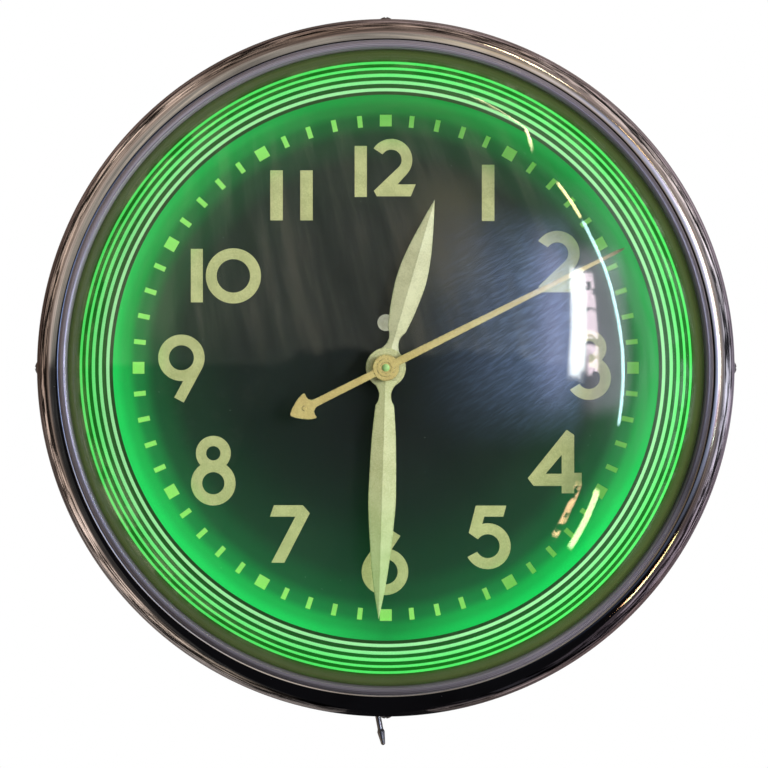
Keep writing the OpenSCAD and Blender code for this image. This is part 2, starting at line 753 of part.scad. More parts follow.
module motor_leads() color("khaki") upright() for (s = [-1, 1]) {
    end_x = block_at[0] + terminal_x[s < 0 ? 2 : 3];
    y = bar_y + 5 + s * 5;
    lead([
        [16.1, y, frame_d - 3], [22, y, frame_d - 3], [34, y - 4, frame_d - 6], [48, y - 16, frame_d - 12],
        [56 + s * 3, y - 36, frame_d - 20], [58 + s * 3, 20, 14], [60 + s * 3, -20, 12],
        [end_x - 6, block_at[1] + 26, 12], [end_x, block_at[1] + 15, 17], [end_x, block_at[1] + 6, 21],
        [end_x, block_at[1], 20], [end_x, block_at[1], sheet_t + 14.2]
    ], wire_r, [0.2, 0.3, 1]);
}

wheel_t = 2;
drive_d = back_plate_d + plate_t + 1.5;
third_d = drive_d + 4;
centre_d = drive_d + 9;
motion_d = front_face_d + 2.5;
hour_wheel_d = motion_d + 4;

module drive_pinion() color("silver") upright() at(motor_at) {
    translate([0, 0, back_plate_d - 9]) cylinder(r = shaft_r, h = drive_d + wheel_t + 1 - back_plate_d + 9);
    translate([0, 0, drive_d]) linear_extrude(wheel_t) gear_outline(drive_teeth, drive_m, 270);
}

module seconds_arbor() color("silver") upright() {
    translate([0, 0, back_plate_d - 0.5]) cylinder(r = arbor_r, h = second_d + hand_t - back_plate_d + 0.5);
    translate([0, 0, third_d - 0.6]) linear_extrude(3.2)
        gear_outline(seconds_pinion_teeth, third_m, gap_at(180, seconds_pinion_teeth));
}

module seconds_wheel() color("gold") upright()
    translate([0, 0, drive_d]) spoked_gear(drive_teeth, drive_m, wheel_t, arbor_r, gap_at(90, drive_teeth));

module third_arbor() color("silver") upright() at(third_at) {
    translate([0, 0, back_plate_d]) cylinder(r = arbor_r, h = front_face_d - back_plate_d);
    translate([0, 0, centre_d - 0.6]) linear_extrude(3.2)
        gear_outline(third_pinion_teeth, centre_m, gap_at(0, third_pinion_teeth));
}

module third_wheel() color("gold") upright()
    at(third_at, third_d) spoked_gear(third_teeth, third_m, wheel_t, arbor_r, 0);

module cannon_tube() color("silver") upright() difference() {
    union() {
        translate([0, 0, centre_d - 1]) cylinder(r = cannon_r, h = minute_d + hand_t + 1 - centre_d);
        translate([0, 0, motion_d]) linear_extrude(wheel_t)
            gear_outline(cannon_teeth, motion_m, gap_at(270, cannon_teeth));
    }
    translate([0, 0, centre_d - 2]) cylinder(r = arbor_bore, h = minute_d);
}

module centre_wheel() color("gold") upright()
    translate([0, 0, centre_d]) spoked_gear(centre_teeth, centre_m, wheel_t, cannon_r, 180);

module motion_wheel() color("gold") upright() at(motion_at) difference() {
    union() {
        translate([0, 0, motion_d]) linear_extrude(wheel_t) gear_outline(motion_teeth, motion_m, 90);
        translate([0, 0, motion_d + 1]) linear_extrude(5.5)
            gear_outline(motion_pinion_teeth, hour_m, gap_at(90, motion_pinion_teeth));
    }
    translate([0, 0, front_plate_d]) cylinder(r = stud_r + run_gap, h = 20);
}

module hour_tube() color("silver") upright()
    translate([0, 0, hour_wheel_d - 0.5]) tube(hour_r, hour_in_r, hour_d + hand_t + 0.5 - hour_wheel_d);

module hour_wheel() color("gold") upright()
    translate([0, 0, hour_wheel_d]) gear(hour_teeth, hour_m, wheel_t, hour_r, 270);

module set_arbor() color("silver") upright() at(set_at) {
    translate([0, 0, knob_d]) cylinder(r = shaft_r, h = motion_d + wheel_t + 0.5 - knob_d);
    translate([0, 0, motion_d - 0.2]) linear_extrude(wheel_t + 0.4)
        gear_outline(cannon_teeth, motion_m, gap_at(90, cannon_teeth));
}

module set_knob() color("black") upright() at(set_at, knob_d) difference() {
    cylinder(r = knob_r, h = knob_h);
    translate([0, 0, -eps]) cylinder(r = shaft_r, h = knob_h + 2 * eps);
    for (a = [0:15:345]) rotate([0, 0, a]) translate([knob_r + 0.4, 0, -eps]) cylinder(r = 1, h = knob_h + 2 * eps);
}

// ---------- dial ----------

// The numerals are drawn for a dial of this radius and scaled to the dial's own.
drawn_dial_r = 203;
dial_scale = dial_r / drawn_dial_r;
stroke = 7.8;

module dial() color("darkslategray") upright() translate([0, 0, dial_back_d]) difference() {
    cylinder(r = dial_r, h = dial_t, $fn = 180);
    translate([0, 0, -eps]) cylinder(r = hour_r + 1, h = dial_t + 2 * eps);
    at([0, window_up], -eps) cylinder(r = window_r, h = dial_t + 2 * eps);
}

module ring(r_out, r_in) {
    difference() {
        circle(r_out);
        circle(r_in);
    }
}

module bar(w, h) {
    square([w, h], center = true);
}

module figure_two() {
    r_out = 15.3;
    polygon(concat(
        arc_points(r_out, 147, -45, 48),
        [[4.6, -17.8], [17.8, -17.8], [14.2, -26.5], [-10.5, -26.5], [-12.7, -22.5]],
        arc_points(r_out - stroke, -45, 147, 48)
    ));
}

module figure_three() {
    translate([0, 11.4]) arc_band(12.8, 5.1, -90, 148);
    translate([0, -10.4]) arc_band(16.1, 8.1, -148, 90);
}

module figure_four() {
    difference() {
        polygon([
            [8.7, 23.3], [14.2, 19.6], [14.2, -8], [19.6, -8], [19.6, -17.5], [14.2, -17.5],
            [14.2, -22.9], [5.1, -22.9], [5.1, -17.5], [-15.3, -17.5], [-19.6, -12]
        ]);
        polygon([[-6.5, -8.7], [5.1, -8.7], [5.1, 5.1]]);
    }
}

module figure_five() {
    polygon([[-8.7, 23.3], [13.5, 23.3], [11.3, 15.3], [-2.5, 15.3], [-4.2, 9.4], [-8.7, 0], [-13.8, 3.6]]);
    translate([0, -6.2]) arc_band(16.7, 8.7, -152, 145);
}

// The ring and straight tail of a 9; a 6 is the same turned round.
module ring_and_tail(r_out, r_in, tail_w, lean) {
    ring(r_out, r_in);
    difference() {
        rotate(-lean) translate([r_out - tail_w, -27.9]) square([tail_w, 27.9]);
        circle(r_in);
    }
}

module figure_seven() {
    polygon([[-11.6, 20.7], [9.5, 20.7], [14.5, 14.9], [-4, -21.1], [-13.5, -21.1], [4, 12.4], [-14.5, 12.4]]);
}

module figure_eight() {
    difference() {
        union() {
            translate([0, 10.9]) circle(12.7);
            translate([0, -10.9]) circle(16.2);
        }
        translate([0, 10.9]) circle(5.2);
        translate([0, -10.9]) circle(8.1);
    }
}

module numerals() {
    translate([-18.2, 142.9]) bar(8.9, 37.1);
    translate([4, 151.3]) figure_two();
    translate([74.5, 127.3]) bar(9.1, 40.9);
    translate([124.7, 83.3]) scale(1.07) figure_two();
    translate([147.8, 3.1]) figure_three();
    translate([122.9, -68.4]) figure_four();
    translate([74.2, -123.6]) figure_five();
    translate([-0.6, -148.4]) rotate(180) ring_and_tail(17, 9.3, 12, 33.6);
    translate([-69.8, -120.7]) figure_seven();
    translate([-125.5, -73.1]) figure_eight();
    translate([-148.7, 7.3]) ring_and_tail(16.9, 9.1, stroke, 28.3);
    translate([-137.5, 67.1]) bar(8.7, 38.9);
    translate([-110.9, 66.9]) ring(20.1, 12.2);
    translate([-79.5, 125.5]) bar(9.1, 36.4);
    translate([-57.7, 125.5]) bar(9.1, 36.4);
}

module dial_numerals() color("khaki") upright()
    translate([0, 0, dial_front_d]) linear_extrude(print_t) scale(dial_scale) numerals();

module dial_markers() color("palegreen") upright() translate([0, 0, dial_front_d]) linear_extrude(print_t)
    for (i = [0:59]) rotate(i * 6) translate([0, dial_r - 23.1]) {
        if (i % 5 == 0) {
            bar(8.7, 8.5);
        } else {
            bar(3.6, 8.6);
        }
    }

// ---------- hands ----------

// A leaf hand: half widths at stated distances from the centre, mirrored about its middle.
module leaf(halves, tip) {
    n = len(halves);
    polygon(concat(
        [for (p = halves) [p[1], p[0]]],
        [[0, tip]],
        [for (i = [n - 1:-1:0]) [-halves[i][1], halves[i][0]]]
    ));
}

hour_len = dial_r - hour_tip_gap;
minute_len = dial_r - minute_tip_gap;
second_len = dial_r - second_tip_gap;

module hour_hand() color("cornsilk") upright() translate([0, 0, hour_d]) clockwise(hour_angle) difference() {
    linear_extrude(hand_t) {
        circle(eye_r);
        leaf([[0, 3.1], [18.5, 3.1], [28, 5.8], [hour_len * 0.545, 11]], hour_len);
    }
    translate([0, 0, -eps]) cylinder(r = hour_r, h = hand_t + 2 * eps);
}

module minute_hand() color("cornsilk") upright() translate([0, 0, minute_d]) clockwise(minute_angle) difference() {
    linear_extrude(hand_t) {
        circle(eye_r);
        leaf([
            [0, 3.8], [19, 3.8], [27, 6.9], [minute_len * 0.45, 9.8], [minute_len * 0.565, 9.8],
            [minute_len * 0.76, 6.9], [minute_len * 0.887, 3.9]
        ], minute_len);
    }
    translate([0, 0, -eps]) cylinder(r = cannon_r, h = hand_t + 2 * eps);
}

module second_hand() color("wheat") upright() translate([0, 0, second_d]) clockwise(second_angle) difference() {
    union() {
        translate([0, 0, -1]) cylinder(r = 9.8, h = hand_t + 1);
        linear_extrude(hand_t) {
            polygon([[-2.5, 0], [2.5, 0], [1.3, second_len - 4], [0, second_len], [-1.3, second_len - 4]]);
            polygon([[-2.2, 0], [2.2, 0], [2.2, -62], [8, -58], [0, -77], [-8, -58], [-2.2, -62]]);
        }
    }
    translate([0, 0, -2]) cylinder(r = arbor_r, h = hand_t + 4);
}

module hand_cap() color("palegreen") upright() translate([0, 0, second_d + hand_t]) intersection() {
    cylinder(r = 2.8, h = 1.6);
    translate([0, 0, -1.7]) sphere(3.3);
}

case_pan();
hanger_plate();
cord_bushing();
bezel();
bezel_screws();
dome_glass();
glass_gasket();
reflector_ring();
reflector_screws();
dial();
dial_numerals();
dial_markers();
dial_studs();
stud_nuts();
stud_spacers();
neon_tube();
tube_supports();
electrode_boots();
ht_leads();
transformer_core();
transformer_coil();
transformer_brackets();
transformer_rivets();
terminal_block();
switch_body();
switch_nut();
switch_leads();
motor_can();
motor_laminations();
motor_coil();
motor_screws();
motor_leads();
back_plate();
front_plate();
plate_pillars();
motion_stud();
flag_post();
drive_pinion();
seconds_arbor();
seconds_wheel();
second_hand();
hand_cap();
third_arbor();
third_wheel();
cannon_tube();
centre_wheel();
minute_hand();
hour_tube();
hour_wheel();
hour_hand();
motion_wheel();
set_arbor();
set_knob();
indicator_flag();
toggle_lever();
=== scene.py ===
"""Looks of a round neon-lit advertising wall clock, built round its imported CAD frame."""

import logging
import math
from collections.abc import Callable, Iterable, Sequence
from dataclasses import dataclass, field
from enum import Enum

import bmesh
import bpy
from mathutils import Matrix, Vector


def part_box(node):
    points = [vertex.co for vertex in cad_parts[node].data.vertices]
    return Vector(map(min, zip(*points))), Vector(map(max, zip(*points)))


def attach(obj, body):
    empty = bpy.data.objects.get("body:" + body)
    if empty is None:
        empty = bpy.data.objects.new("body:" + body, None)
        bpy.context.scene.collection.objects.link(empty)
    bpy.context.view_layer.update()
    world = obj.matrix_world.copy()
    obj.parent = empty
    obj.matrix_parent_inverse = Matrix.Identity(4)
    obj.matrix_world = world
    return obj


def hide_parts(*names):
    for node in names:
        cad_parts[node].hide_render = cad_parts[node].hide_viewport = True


Socket = bpy.types.NodeSocket
Point = tuple[float, float]
Vec = tuple[float, float, float]
Stops = tuple[tuple[float, str], ...]

MM = 0.001
RING_STEPS = 288  # stretches round a large turned piece
EYE_STEPS = 96  # stretches round the eye or boss of a hand
THIN = 0.12  # least half width of a hand in mm
log = logging.getLogger("clock")
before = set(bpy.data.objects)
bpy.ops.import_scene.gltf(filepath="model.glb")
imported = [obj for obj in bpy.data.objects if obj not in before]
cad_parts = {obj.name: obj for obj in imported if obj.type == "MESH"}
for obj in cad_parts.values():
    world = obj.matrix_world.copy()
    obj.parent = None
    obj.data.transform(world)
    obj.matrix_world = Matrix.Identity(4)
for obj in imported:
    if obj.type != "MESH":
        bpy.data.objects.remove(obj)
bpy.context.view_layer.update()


def paint(code: str, alpha: float = 1.0) -> tuple[float, float, float, float]:
    """Turns a #RRGGBB colour into linear light.

    Args:
        code: The colour as a designer writes it.
        alpha: The fourth value.

    Returns:
        Linear red, green, blue and alpha.
    """
    parts = [int(code[i : i + 2], 16) / 255 for i in (1, 3, 5)]
    r, g, b = (c / 12.92 if c <= 0.04045 else ((c + 0.055) / 1.055) ** 2.4 for c in parts)
    return r, g, b, alpha


def place(r: float, d: float, a: float = 0.0) -> Vector:
    """A point r mm from the clock's axis and d mm out from the wall, at angle a in radians."""
    return Vector((r * math.cos(a), -d, r * math.sin(a))) * MM


# ---------------------------------------------------------------- node building


class Graph:
    """A node tree under construction, with short calls for what the finishes use."""

    def __init__(self, tree: bpy.types.NodeTree) -> None:
        """Keeps the tree that the calls add to."""
        self.tree = tree

    def node(
        self, kind: str, inputs: dict[str, object] | Sequence[object] = (), **settings: object,
    ) -> bpy.types.Node:
        """Adds a node.

        Args:
            kind: The node's type name.
            inputs: What its inputs are fed, by name or in order.
            settings: Properties to set on it.

        Returns:
            The new node.
        """
        made = self.tree.nodes.new(kind)
        for key, value in settings.items():
            setattr(made, key, value)
        self.fill(made, inputs if isinstance(inputs, dict) else dict(enumerate(inputs)))
        return made

    def fill(self, node: bpy.types.Node, values: dict[object, object]) -> None:
        """Sets or links a node's inputs, by name or by place."""
        for key, value in values.items():
            self.feed(node.inputs[key], value)

    def feed(self, target: Socket, source: object) -> None:
        """Links source to target, or sets it as the target's value."""
        if isinstance(source, bpy.types.NodeSocket):
            self.tree.links.new(source, target)
        elif source is not None:
            target.default_value = source

    def maths(self, operation: str, *values: object, clamp: bool = False) -> Socket:
        """Adds a Math node on one to three values and returns its output."""
        return self.node("ShaderNodeMath", values, operation=operation, use_clamp=clamp).outputs[0]

    def add(self, a: object, b: object) -> Socket:
        """a plus b."""
        return self.maths("ADD", a, b)

    def sub(self, a: object, b: object) -> Socket:
        """a less b."""
        return self.maths("SUBTRACT", a, b)

    def mul(self, a: object, b: object) -> Socket:
        """a times b."""
        return self.maths("MULTIPLY", a, b)

    def div(self, a: object, b: object, clamp: bool = False) -> Socket:
        """a over b."""
        return self.maths("DIVIDE", a, b, clamp=clamp)

    def mad(self, a: object, b: object, c: object, clamp: bool = False) -> Socket:
        """a times b, plus c."""
        return self.maths("MULTIPLY_ADD", a, b, c, clamp=clamp)

    def apart(self, a: object, b: object) -> Socket:
        """How far a is from b."""
        return self.maths("ABSOLUTE", self.sub(a, b))

    def fade(self, value: object, start: float, end: float, low: float = 0.0, high: float = 1.0) -> Socket:
        """A smooth step of value from low at start to high at end."""
        inputs = (value, start, end, low, high)
        return self.node("ShaderNodeMapRange", inputs, interpolation_type="SMOOTHSTEP").outputs[0]

    def band(self, value: object, low: float, high: float, soft: float) -> Socket:
        """1 where value is between low and high, with edges that fade over soft."""
        rise = self.fade(value, low - soft, low + soft)
        fall = self.fade(value, high + soft, high - soft)
        return self.mul(rise, fall)

    def ramp(self, value: object, stops: Sequence[tuple[float, object]], kind: str = "LINEAR") -> Socket:
        """A colour ramp.

        Args:
            value: What runs along the ramp.
            stops: Places from 0 to 1, each with a #RRGGBB colour or a grey value.
            kind: How the ramp goes from stop to stop.

        Returns:
            The ramp's colour.
        """
        made = self.node("ShaderNodeValToRGB", (value,))
        bar = made.color_ramp
        bar.interpolation = kind
        while len(bar.elements) < len(stops):
            bar.elements.new(0.5)
        for element, (at, colour) in zip(bar.elements, stops):
            element.position = at
            element.color = paint(colour) if isinstance(colour, str) else (colour, colour, colour, 1)
        return made.outputs[0]

    def mix(self, share: object, a: object, b: object, blend: str = "MIX") -> Socket:
        """Mixes colours a and b by share."""
        made = self.node("ShaderNodeMix", data_type="RGBA", blend_type=blend)
        for index, value in ((0, share), (6, a), (7, b)):
            self.feed(made.inputs[index], paint(value) if isinstance(value, str) else value)
        return made.outputs[2]

    def blend(self, share: Socket, a: Socket, b: Socket) -> Socket:
        """Mixes shaders a and b by share."""
        return self.node("ShaderNodeMixShader", (share, a, b)).outputs[0]

    def noise(self, where: object, scale: float, detail: float = 3.0, rough: float = 0.55) -> Socket:
        """A noise value at a place."""
        inputs = {"Vector": where, "Scale": scale, "Detail": detail, "Roughness": rough}
        return self.node("ShaderNodeTexNoise", inputs).outputs["Fac"]

    def vector(self, x: object = 0.0, y: object = 0.0, z: object = 0.0) -> Socket:
        """Puts three values together as a vector."""
        return self.node("ShaderNodeCombineXYZ", (x, y, z)).outputs[0]

    def parts(self, where: object) -> tuple[Socket, Socket, Socket]:
        """Takes a vector apart."""
        return tuple(self.node("ShaderNodeSeparateXYZ", (where,)).outputs)

    def spot(self) -> Socket:
        """The point on the piece, in metres."""
        return self.node("ShaderNodeTexCoord").outputs["Object"]

    def round_axis(self) -> tuple[Socket, Socket]:
        """Distance of the point from the clock's axis, and its angle round it in radians."""
        x, _, z = self.parts(self.spot())
        radius = self.maths("SQRT", self.add(self.mul(x, x), self.mul(z, z)))
        return radius, self.maths("ARCTAN2", z, x)

    def bump(self, shader: bpy.types.Node, height: Socket, strength: float, distance: float) -> None:
        """Gives a shader a bump, where a height of 1 stands distance metres tall."""
        made = self.node("ShaderNodeBump", {"Strength": strength, "Distance": distance, "Height": height})
        self.feed(shader.inputs["Normal"], made.outputs[0])


class Effect(Enum):
    """The shared shader groups."""

    POLAR = "clock_polar"
    MOTTLE = "mottling"
    SPECKS = "dust_specks"
    WEAR = "edge_wear"
    SPUN = "spinning_lines"
    CRACKLE = "enamel_crackle"
    LAYERS = "stacked_layers"
    BRAID = "braided_cover"


class Effects:
    """Builds each shared shader group once and places it in materials."""

    def __init__(self) -> None:
        """Starts with no groups built."""
        self.built: dict[Effect, bpy.types.NodeTree] = {}
        self.recipes: dict[Effect, tuple[dict[str, float], tuple[str, ...], Callable]] = {
            Effect.POLAR: ({}, ("Radius", "Angle"), self._polar),
            Effect.MOTTLE: ({"Scale": 60.0, "Detail": 4.0}, ("Value",), self._mottle),
            Effect.SPECKS: ({"Scale": 300.0, "Amount": 0.1}, ("Mask",), self._specks),
            Effect.WEAR: ({"Width": 0.0006, "Breakup": 400.0}, ("Mask",), self._wear),
            Effect.SPUN: ({"Pitch": 2500.0}, ("Value",), self._spun),
            Effect.CRACKLE: ({"Scale": 900.0}, ("Height",), self._crackle),
            Effect.LAYERS: ({"Pitch": 2000.0}, ("Value",), self._layers),
            Effect.BRAID: ({"Pitch": 900.0}, ("Value",), self._braid),
        }

    def place(self, g: Graph, effect: Effect, **values: float) -> bpy.types.bpy_prop_collection:
        """Puts a shared group into a material.

        Args:
            g: The material's graph.
            effect: Which group.
            values: The group's named inputs.

        Returns:
            The group node's outputs.
        """
        if effect not in self.built:
            takes, gives, recipe = self.recipes[effect]
            tree = bpy.data.node_groups.new(effect.value, "ShaderNodeTree")
            for name, value in takes.items():
                socket = tree.interface.new_socket(name, in_out="INPUT", socket_type="NodeSocketFloat")
                socket.default_value = value
            for name in gives:
                tree.interface.new_socket(name, in_out="OUTPUT", socket_type="NodeSocketFloat")
            inner = Graph(tree)
            start, end = inner.node("NodeGroupInput"), inner.node("NodeGroupOutput")
            inner.fill(end, dict(zip(gives, recipe(inner, start.outputs))))
            self.built[effect] = tree
        made = g.node("ShaderNodeGroup", node_tree=self.built[effect])
        g.fill(made, values)
        return made.outputs

    def mottle(self, g: Graph, scale: float, detail: float = 4.0) -> Socket:
        """Soft uneven patches, from the shared group."""
        return self.place(g, Effect.MOTTLE, Scale=scale, Detail=detail)["Value"]

    def specks(self, g: Graph, scale: float, amount: float) -> Socket:
        """Scattered specks, from the shared group."""
        return self.place(g, Effect.SPECKS, Scale=scale, Amount=amount)["Mask"]

    @staticmethod
    def _polar(g: Graph, _given: object) -> list[Socket]:
        """Distance from the clock's axis, and the angle round it as 0 to 1 from the left, by the bottom."""
        radius, turn = g.round_axis()
        return [radius, g.mad(turn, 1 / math.tau, 0.5)]

    @staticmethod
    def _mottle(g: Graph, given: object) -> list[Socket]:
        """Soft uneven patches."""
        inputs = {"Vector": g.spot(), "Scale": given["Scale"], "Detail": given["Detail"]}
        return [g.node("ShaderNodeTexNoise", inputs).outputs["Fac"]]

    @staticmethod
    def _specks(g: Graph, given: object) -> list[Socket]:
        """Small scattered specks of dust, few where Amount is low."""
        made = g.node("ShaderNodeTexVoronoi", {"Vector": g.spot(), "Scale": given["Scale"]})
        chance, spread, _ = g.parts(made.outputs["Color"])
        picked = g.maths("LESS_THAN", chance, given["Amount"])
        size = g.mul(spread, 0.16)
        return [g.mul(picked, g.maths("LESS_THAN", made.outputs["Distance"], size))]

    @staticmethod
    def _wear(g: Graph, given: object) -> list[Socket]:
        """Where edges are rubbed, from how far a rounded normal leans from the true one."""
        bevel = g.node("ShaderNodeBevel", {"Radius": given["Width"]}, samples=2).outputs[0]
        normal = g.node("ShaderNodeNewGeometry").outputs["Normal"]
        dot = g.node("ShaderNodeVectorMath", (bevel, normal), operation="DOT_PRODUCT")
        edge = g.fade(dot.outputs["Value"], 0.985, 0.8)
        made = g.node("ShaderNodeTexNoise", {"Vector": g.spot(), "Scale": given["Breakup"]})
        return [g.mul(edge, g.fade(made.outputs["Fac"], 0.42, 0.6))]

    @staticmethod
    def _spun(g: Graph, given: object) -> list[Socket]:
        """Fine rings left by a spinning tool, round the clock's axis."""
        radius, turn = g.round_axis()
        _, y, _ = g.parts(g.spot())
        where = g.vector(g.mul(radius, given["Pitch"]), g.mul(turn, 0.7), g.mul(y, given["Pitch"]))
        return [g.noise(where, 1.0, 3.0, 0.6)]

    @staticmethod
    def _crackle(g: Graph, given: object) -> list[Socket]:
        """The pebbled height of crackle enamel."""
        inputs = {"Vector": g.spot(), "Scale": given["Scale"]}
        made = g.node("ShaderNodeTexVoronoi", inputs, feature="SMOOTH_F1")
        return [g.sub(1.0, made.outputs["Distance"])]

    @staticmethod
    def _layers(g: Graph, given: object) -> list[Socket]:
        """Thin layers stacked out from the wall, such as core sheets or turns of wire."""
        x, y, z = g.parts(g.spot())
        wave = g.maths("SINE", g.mul(y, given["Pitch"]))
        drift = g.noise(g.vector(x, g.mul(y, 40.0), z), 30.0, 2.0)
        return [g.mad(wave, 0.35, drift)]

    @staticmethod
    def _braid(g: Graph, given: object) -> list[Socket]:
        """Two crossing sets of threads."""
        x, y, z = g.parts(g.spot())
        along = g.add(g.add(x, z), y)
        across = g.sub(g.add(x, y), z)
        one = g.maths("SINE", g.mul(along, given["Pitch"]))
        two = g.maths("SINE", g.mul(across, given["Pitch"]))
        return [g.mad(g.mul(one, two), 0.5, 0.5)]


EFFECTS = Effects()


# ---------------------------------------------------------------- finishes


class Pattern(Enum):
    """How a finish's surface is worked."""

    PLAIN = "plain"
    SPUN = "spun"
    CRACKLE = "crackle"
    LAYERS = "layers"
    BRAID = "braid"


DUST = "#B5B0A2"


def new_surface(name: str) -> tuple[bpy.types.Material, Graph, bpy.types.Node]:
    """Starts a material.

    Args:
        name: The material's name.

    Returns:
        The material, its graph and its Principled shader.
    """
    material = bpy.data.materials.new(name)
    material.use_nodes = True
    return material, Graph(material.node_tree), material.node_tree.nodes["Principled BSDF"]


@dataclass(frozen=True)
class Finish:
    """A painted, plated, moulded or wound surface."""

    name: str
    colour: str
    second: str
    roughness: float
    metallic: float = 0.0
    pattern: Pattern = Pattern.PLAIN
    pitch: float = 1500.0
    mottle: float = 70.0
    bump: float = 0.15
    coat: float = 0.0
    worn: str = ""
    dust: float = 0.0
    glow: float = 0.0

    def build(self) -> bpy.types.Material:
        """Builds the finish's material."""
        material, g, shader = new_surface(self.name)
        patches = EFFECTS.mottle(g, self.mottle)
        share = g.fade(patches, 0.35, 0.68)
        height = EFFECTS.mottle(g, self.mottle * 12, 2.0)
        if self.pattern is not Pattern.PLAIN:
            key = "Scale" if self.pattern is Pattern.CRACKLE else "Pitch"
            height = EFFECTS.place(g, Effect[self.pattern.name], **{key: self.pitch})[0]
            share = g.mad(height, 0.6, g.mul(share, 0.4), clamp=True)
        colour = g.mix(share, self.colour, self.second)
        rough = g.mad(patches, 0.25, self.roughness - 0.1, clamp=True)
        if self.worn:
            mask = EFFECTS.place(g, Effect.WEAR)["Mask"]
            colour = g.mix(mask, colour, self.worn)
            rough = g.mad(mask, 0.15, rough, clamp=True)
        if self.dust:
            colour = g.mix(g.mul(EFFECTS.specks(g, 300.0, self.dust), 0.7), colour, DUST)
        g.fill(shader, {"Base Color": colour, "Roughness": rough, "Metallic": self.metallic,
                        "Coat Weight": self.coat, "Coat Roughness": 0.12})
        # Painted light: with glow, a finish shines in its own colour though it is no lamp.
        if self.glow:
            g.fill(shader, {"Emission Color": colour, "Emission Strength": self.glow})
        g.bump(shader, height, self.bump, 0.0003)
        return material


@dataclass(frozen=True)
class MirrorChrome:
    """Polished chrome on spun steel, with drawn lines, cloudy patches and a satin bead. A brown reflection on
    the crest's right side and the bead's light and shade round the ring are painted into its colour.
    """

    name: str = "spun_chrome"
    colour: str = "#E9E6E8"
    cloud: str = "#B9AFA8"
    pit: str = "#4A443E"
    # A brown tint on the crest's right side, between the turns and radii below: a painted reflection.
    crest_reflection: str = "#A08D76"
    bead: str = "#B4B1BF"
    bead_line: str = "#777481"
    wave: float = 0.35
    bead_edge: Point = (0.2382, 0.2374)
    crest_reflection_angles: Point = (0.37, 0.66)
    crest_reflection_radii: Point = (0.236, 0.2455)
    # Painted light and shade of the bead round the ring, from the left by the bottom: darkest low on the
    # right, lightest at the upper left.
    bead_light_round: tuple[Point, ...] = (
        (0.0, 0.95), (0.09, 0.55), (0.16, 0.4), (0.26, 0.45), (0.33, 0.75), (0.38, 0.6),
        (0.44, 0.16), (0.5, 0.3), (0.62, 0.42), (0.72, 0.85), (0.88, 1.05), (1.0, 0.95),
    )

    def build(self) -> bpy.types.Material:
        """Builds the chrome's material."""
        material, g, shader = new_surface(self.name)
        lines = EFFECTS.place(g, Effect.SPUN, Pitch=2600.0)["Value"]
        slow = EFFECTS.place(g, Effect.SPUN, Pitch=420.0)["Value"]
        cloud, pits = EFFECTS.mottle(g, 22.0, 5.0), EFFECTS.specks(g, 420.0, 0.05)
        polar = EFFECTS.place(g, Effect.POLAR)
        bead = g.fade(polar["Radius"], *self.bead_edge)
        colour = g.mix(g.fade(cloud, 0.45, 0.8, 0.0, 0.7), self.colour, self.cloud)
        colour = g.mix(g.mul(pits, 0.8), colour, self.pit)
        # Painted reflection: the crest is tinted brown on its right side.
        crest = g.mul(g.band(polar["Angle"], *self.crest_reflection_angles, 0.06),
                      g.band(polar["Radius"], *self.crest_reflection_radii, 0.002))
        colour = g.mix(g.mul(crest, 0.88), colour, self.crest_reflection)
        satin = g.mix(g.fade(lines, 0.4, 0.62), self.bead, self.bead_line)
        # Painted light and shade: the bead's colour is scaled round the ring.
        satin = g.mix(1.0, satin, g.ramp(polar["Angle"], self.bead_light_round), "MULTIPLY")
        rough = g.mad(pits, 0.3, g.mad(g.fade(lines, 0.4, 0.75), 0.1, 0.035))
        g.fill(shader, {"Base Color": g.mix(bead, colour, satin), "Roughness": g.mad(bead, 0.24, rough),
                        "Metallic": g.mad(bead, -0.45, 1.0)})
        g.bump(shader, g.add(g.mul(lines, 0.12), g.mul(slow, self.wave)), 0.25, 0.0004)
        return material


@dataclass(frozen=True)
class ClearGlass:
    """Blown glass with a trace of green, light smears and a slow ripple."""

    name: str = "blown_glass"
    colour: str = "#F4FBF5"
    ior: float = 1.5

    def build(self) -> bpy.types.Material:
        """Builds the glass, which lets lamps shine through it."""
        material, g, shader = new_surface(self.name)
        smears, fine = EFFECTS.mottle(g, 9.0, 6.0), EFFECTS.mottle(g, 600.0, 2.0)
        rough = g.mad(fine, 0.003, g.fade(smears, 0.5, 0.8, 0.0, 0.012))
        g.fill(shader, {"Base Color": paint(self.colour), "Transmission Weight": 1.0, "IOR": self.ior,
                        "Roughness": rough})
        g.bump(shader, EFFECTS.mottle(g, 14.0, 1.0), 0.04, 0.002)
        clear = g.node("ShaderNodeBsdfTransparent", (paint("#EEF6EF"),))
        path = g.node("ShaderNodeLightPath").outputs
        through = g.maths("MAXIMUM", path["Is Shadow Ray"], path["Is Diffuse Ray"])
        both = g.blend(through, shader.outputs[0], clear.outputs[0])
        g.feed(material.node_tree.nodes["Material Output"].inputs[0], both)
        return material


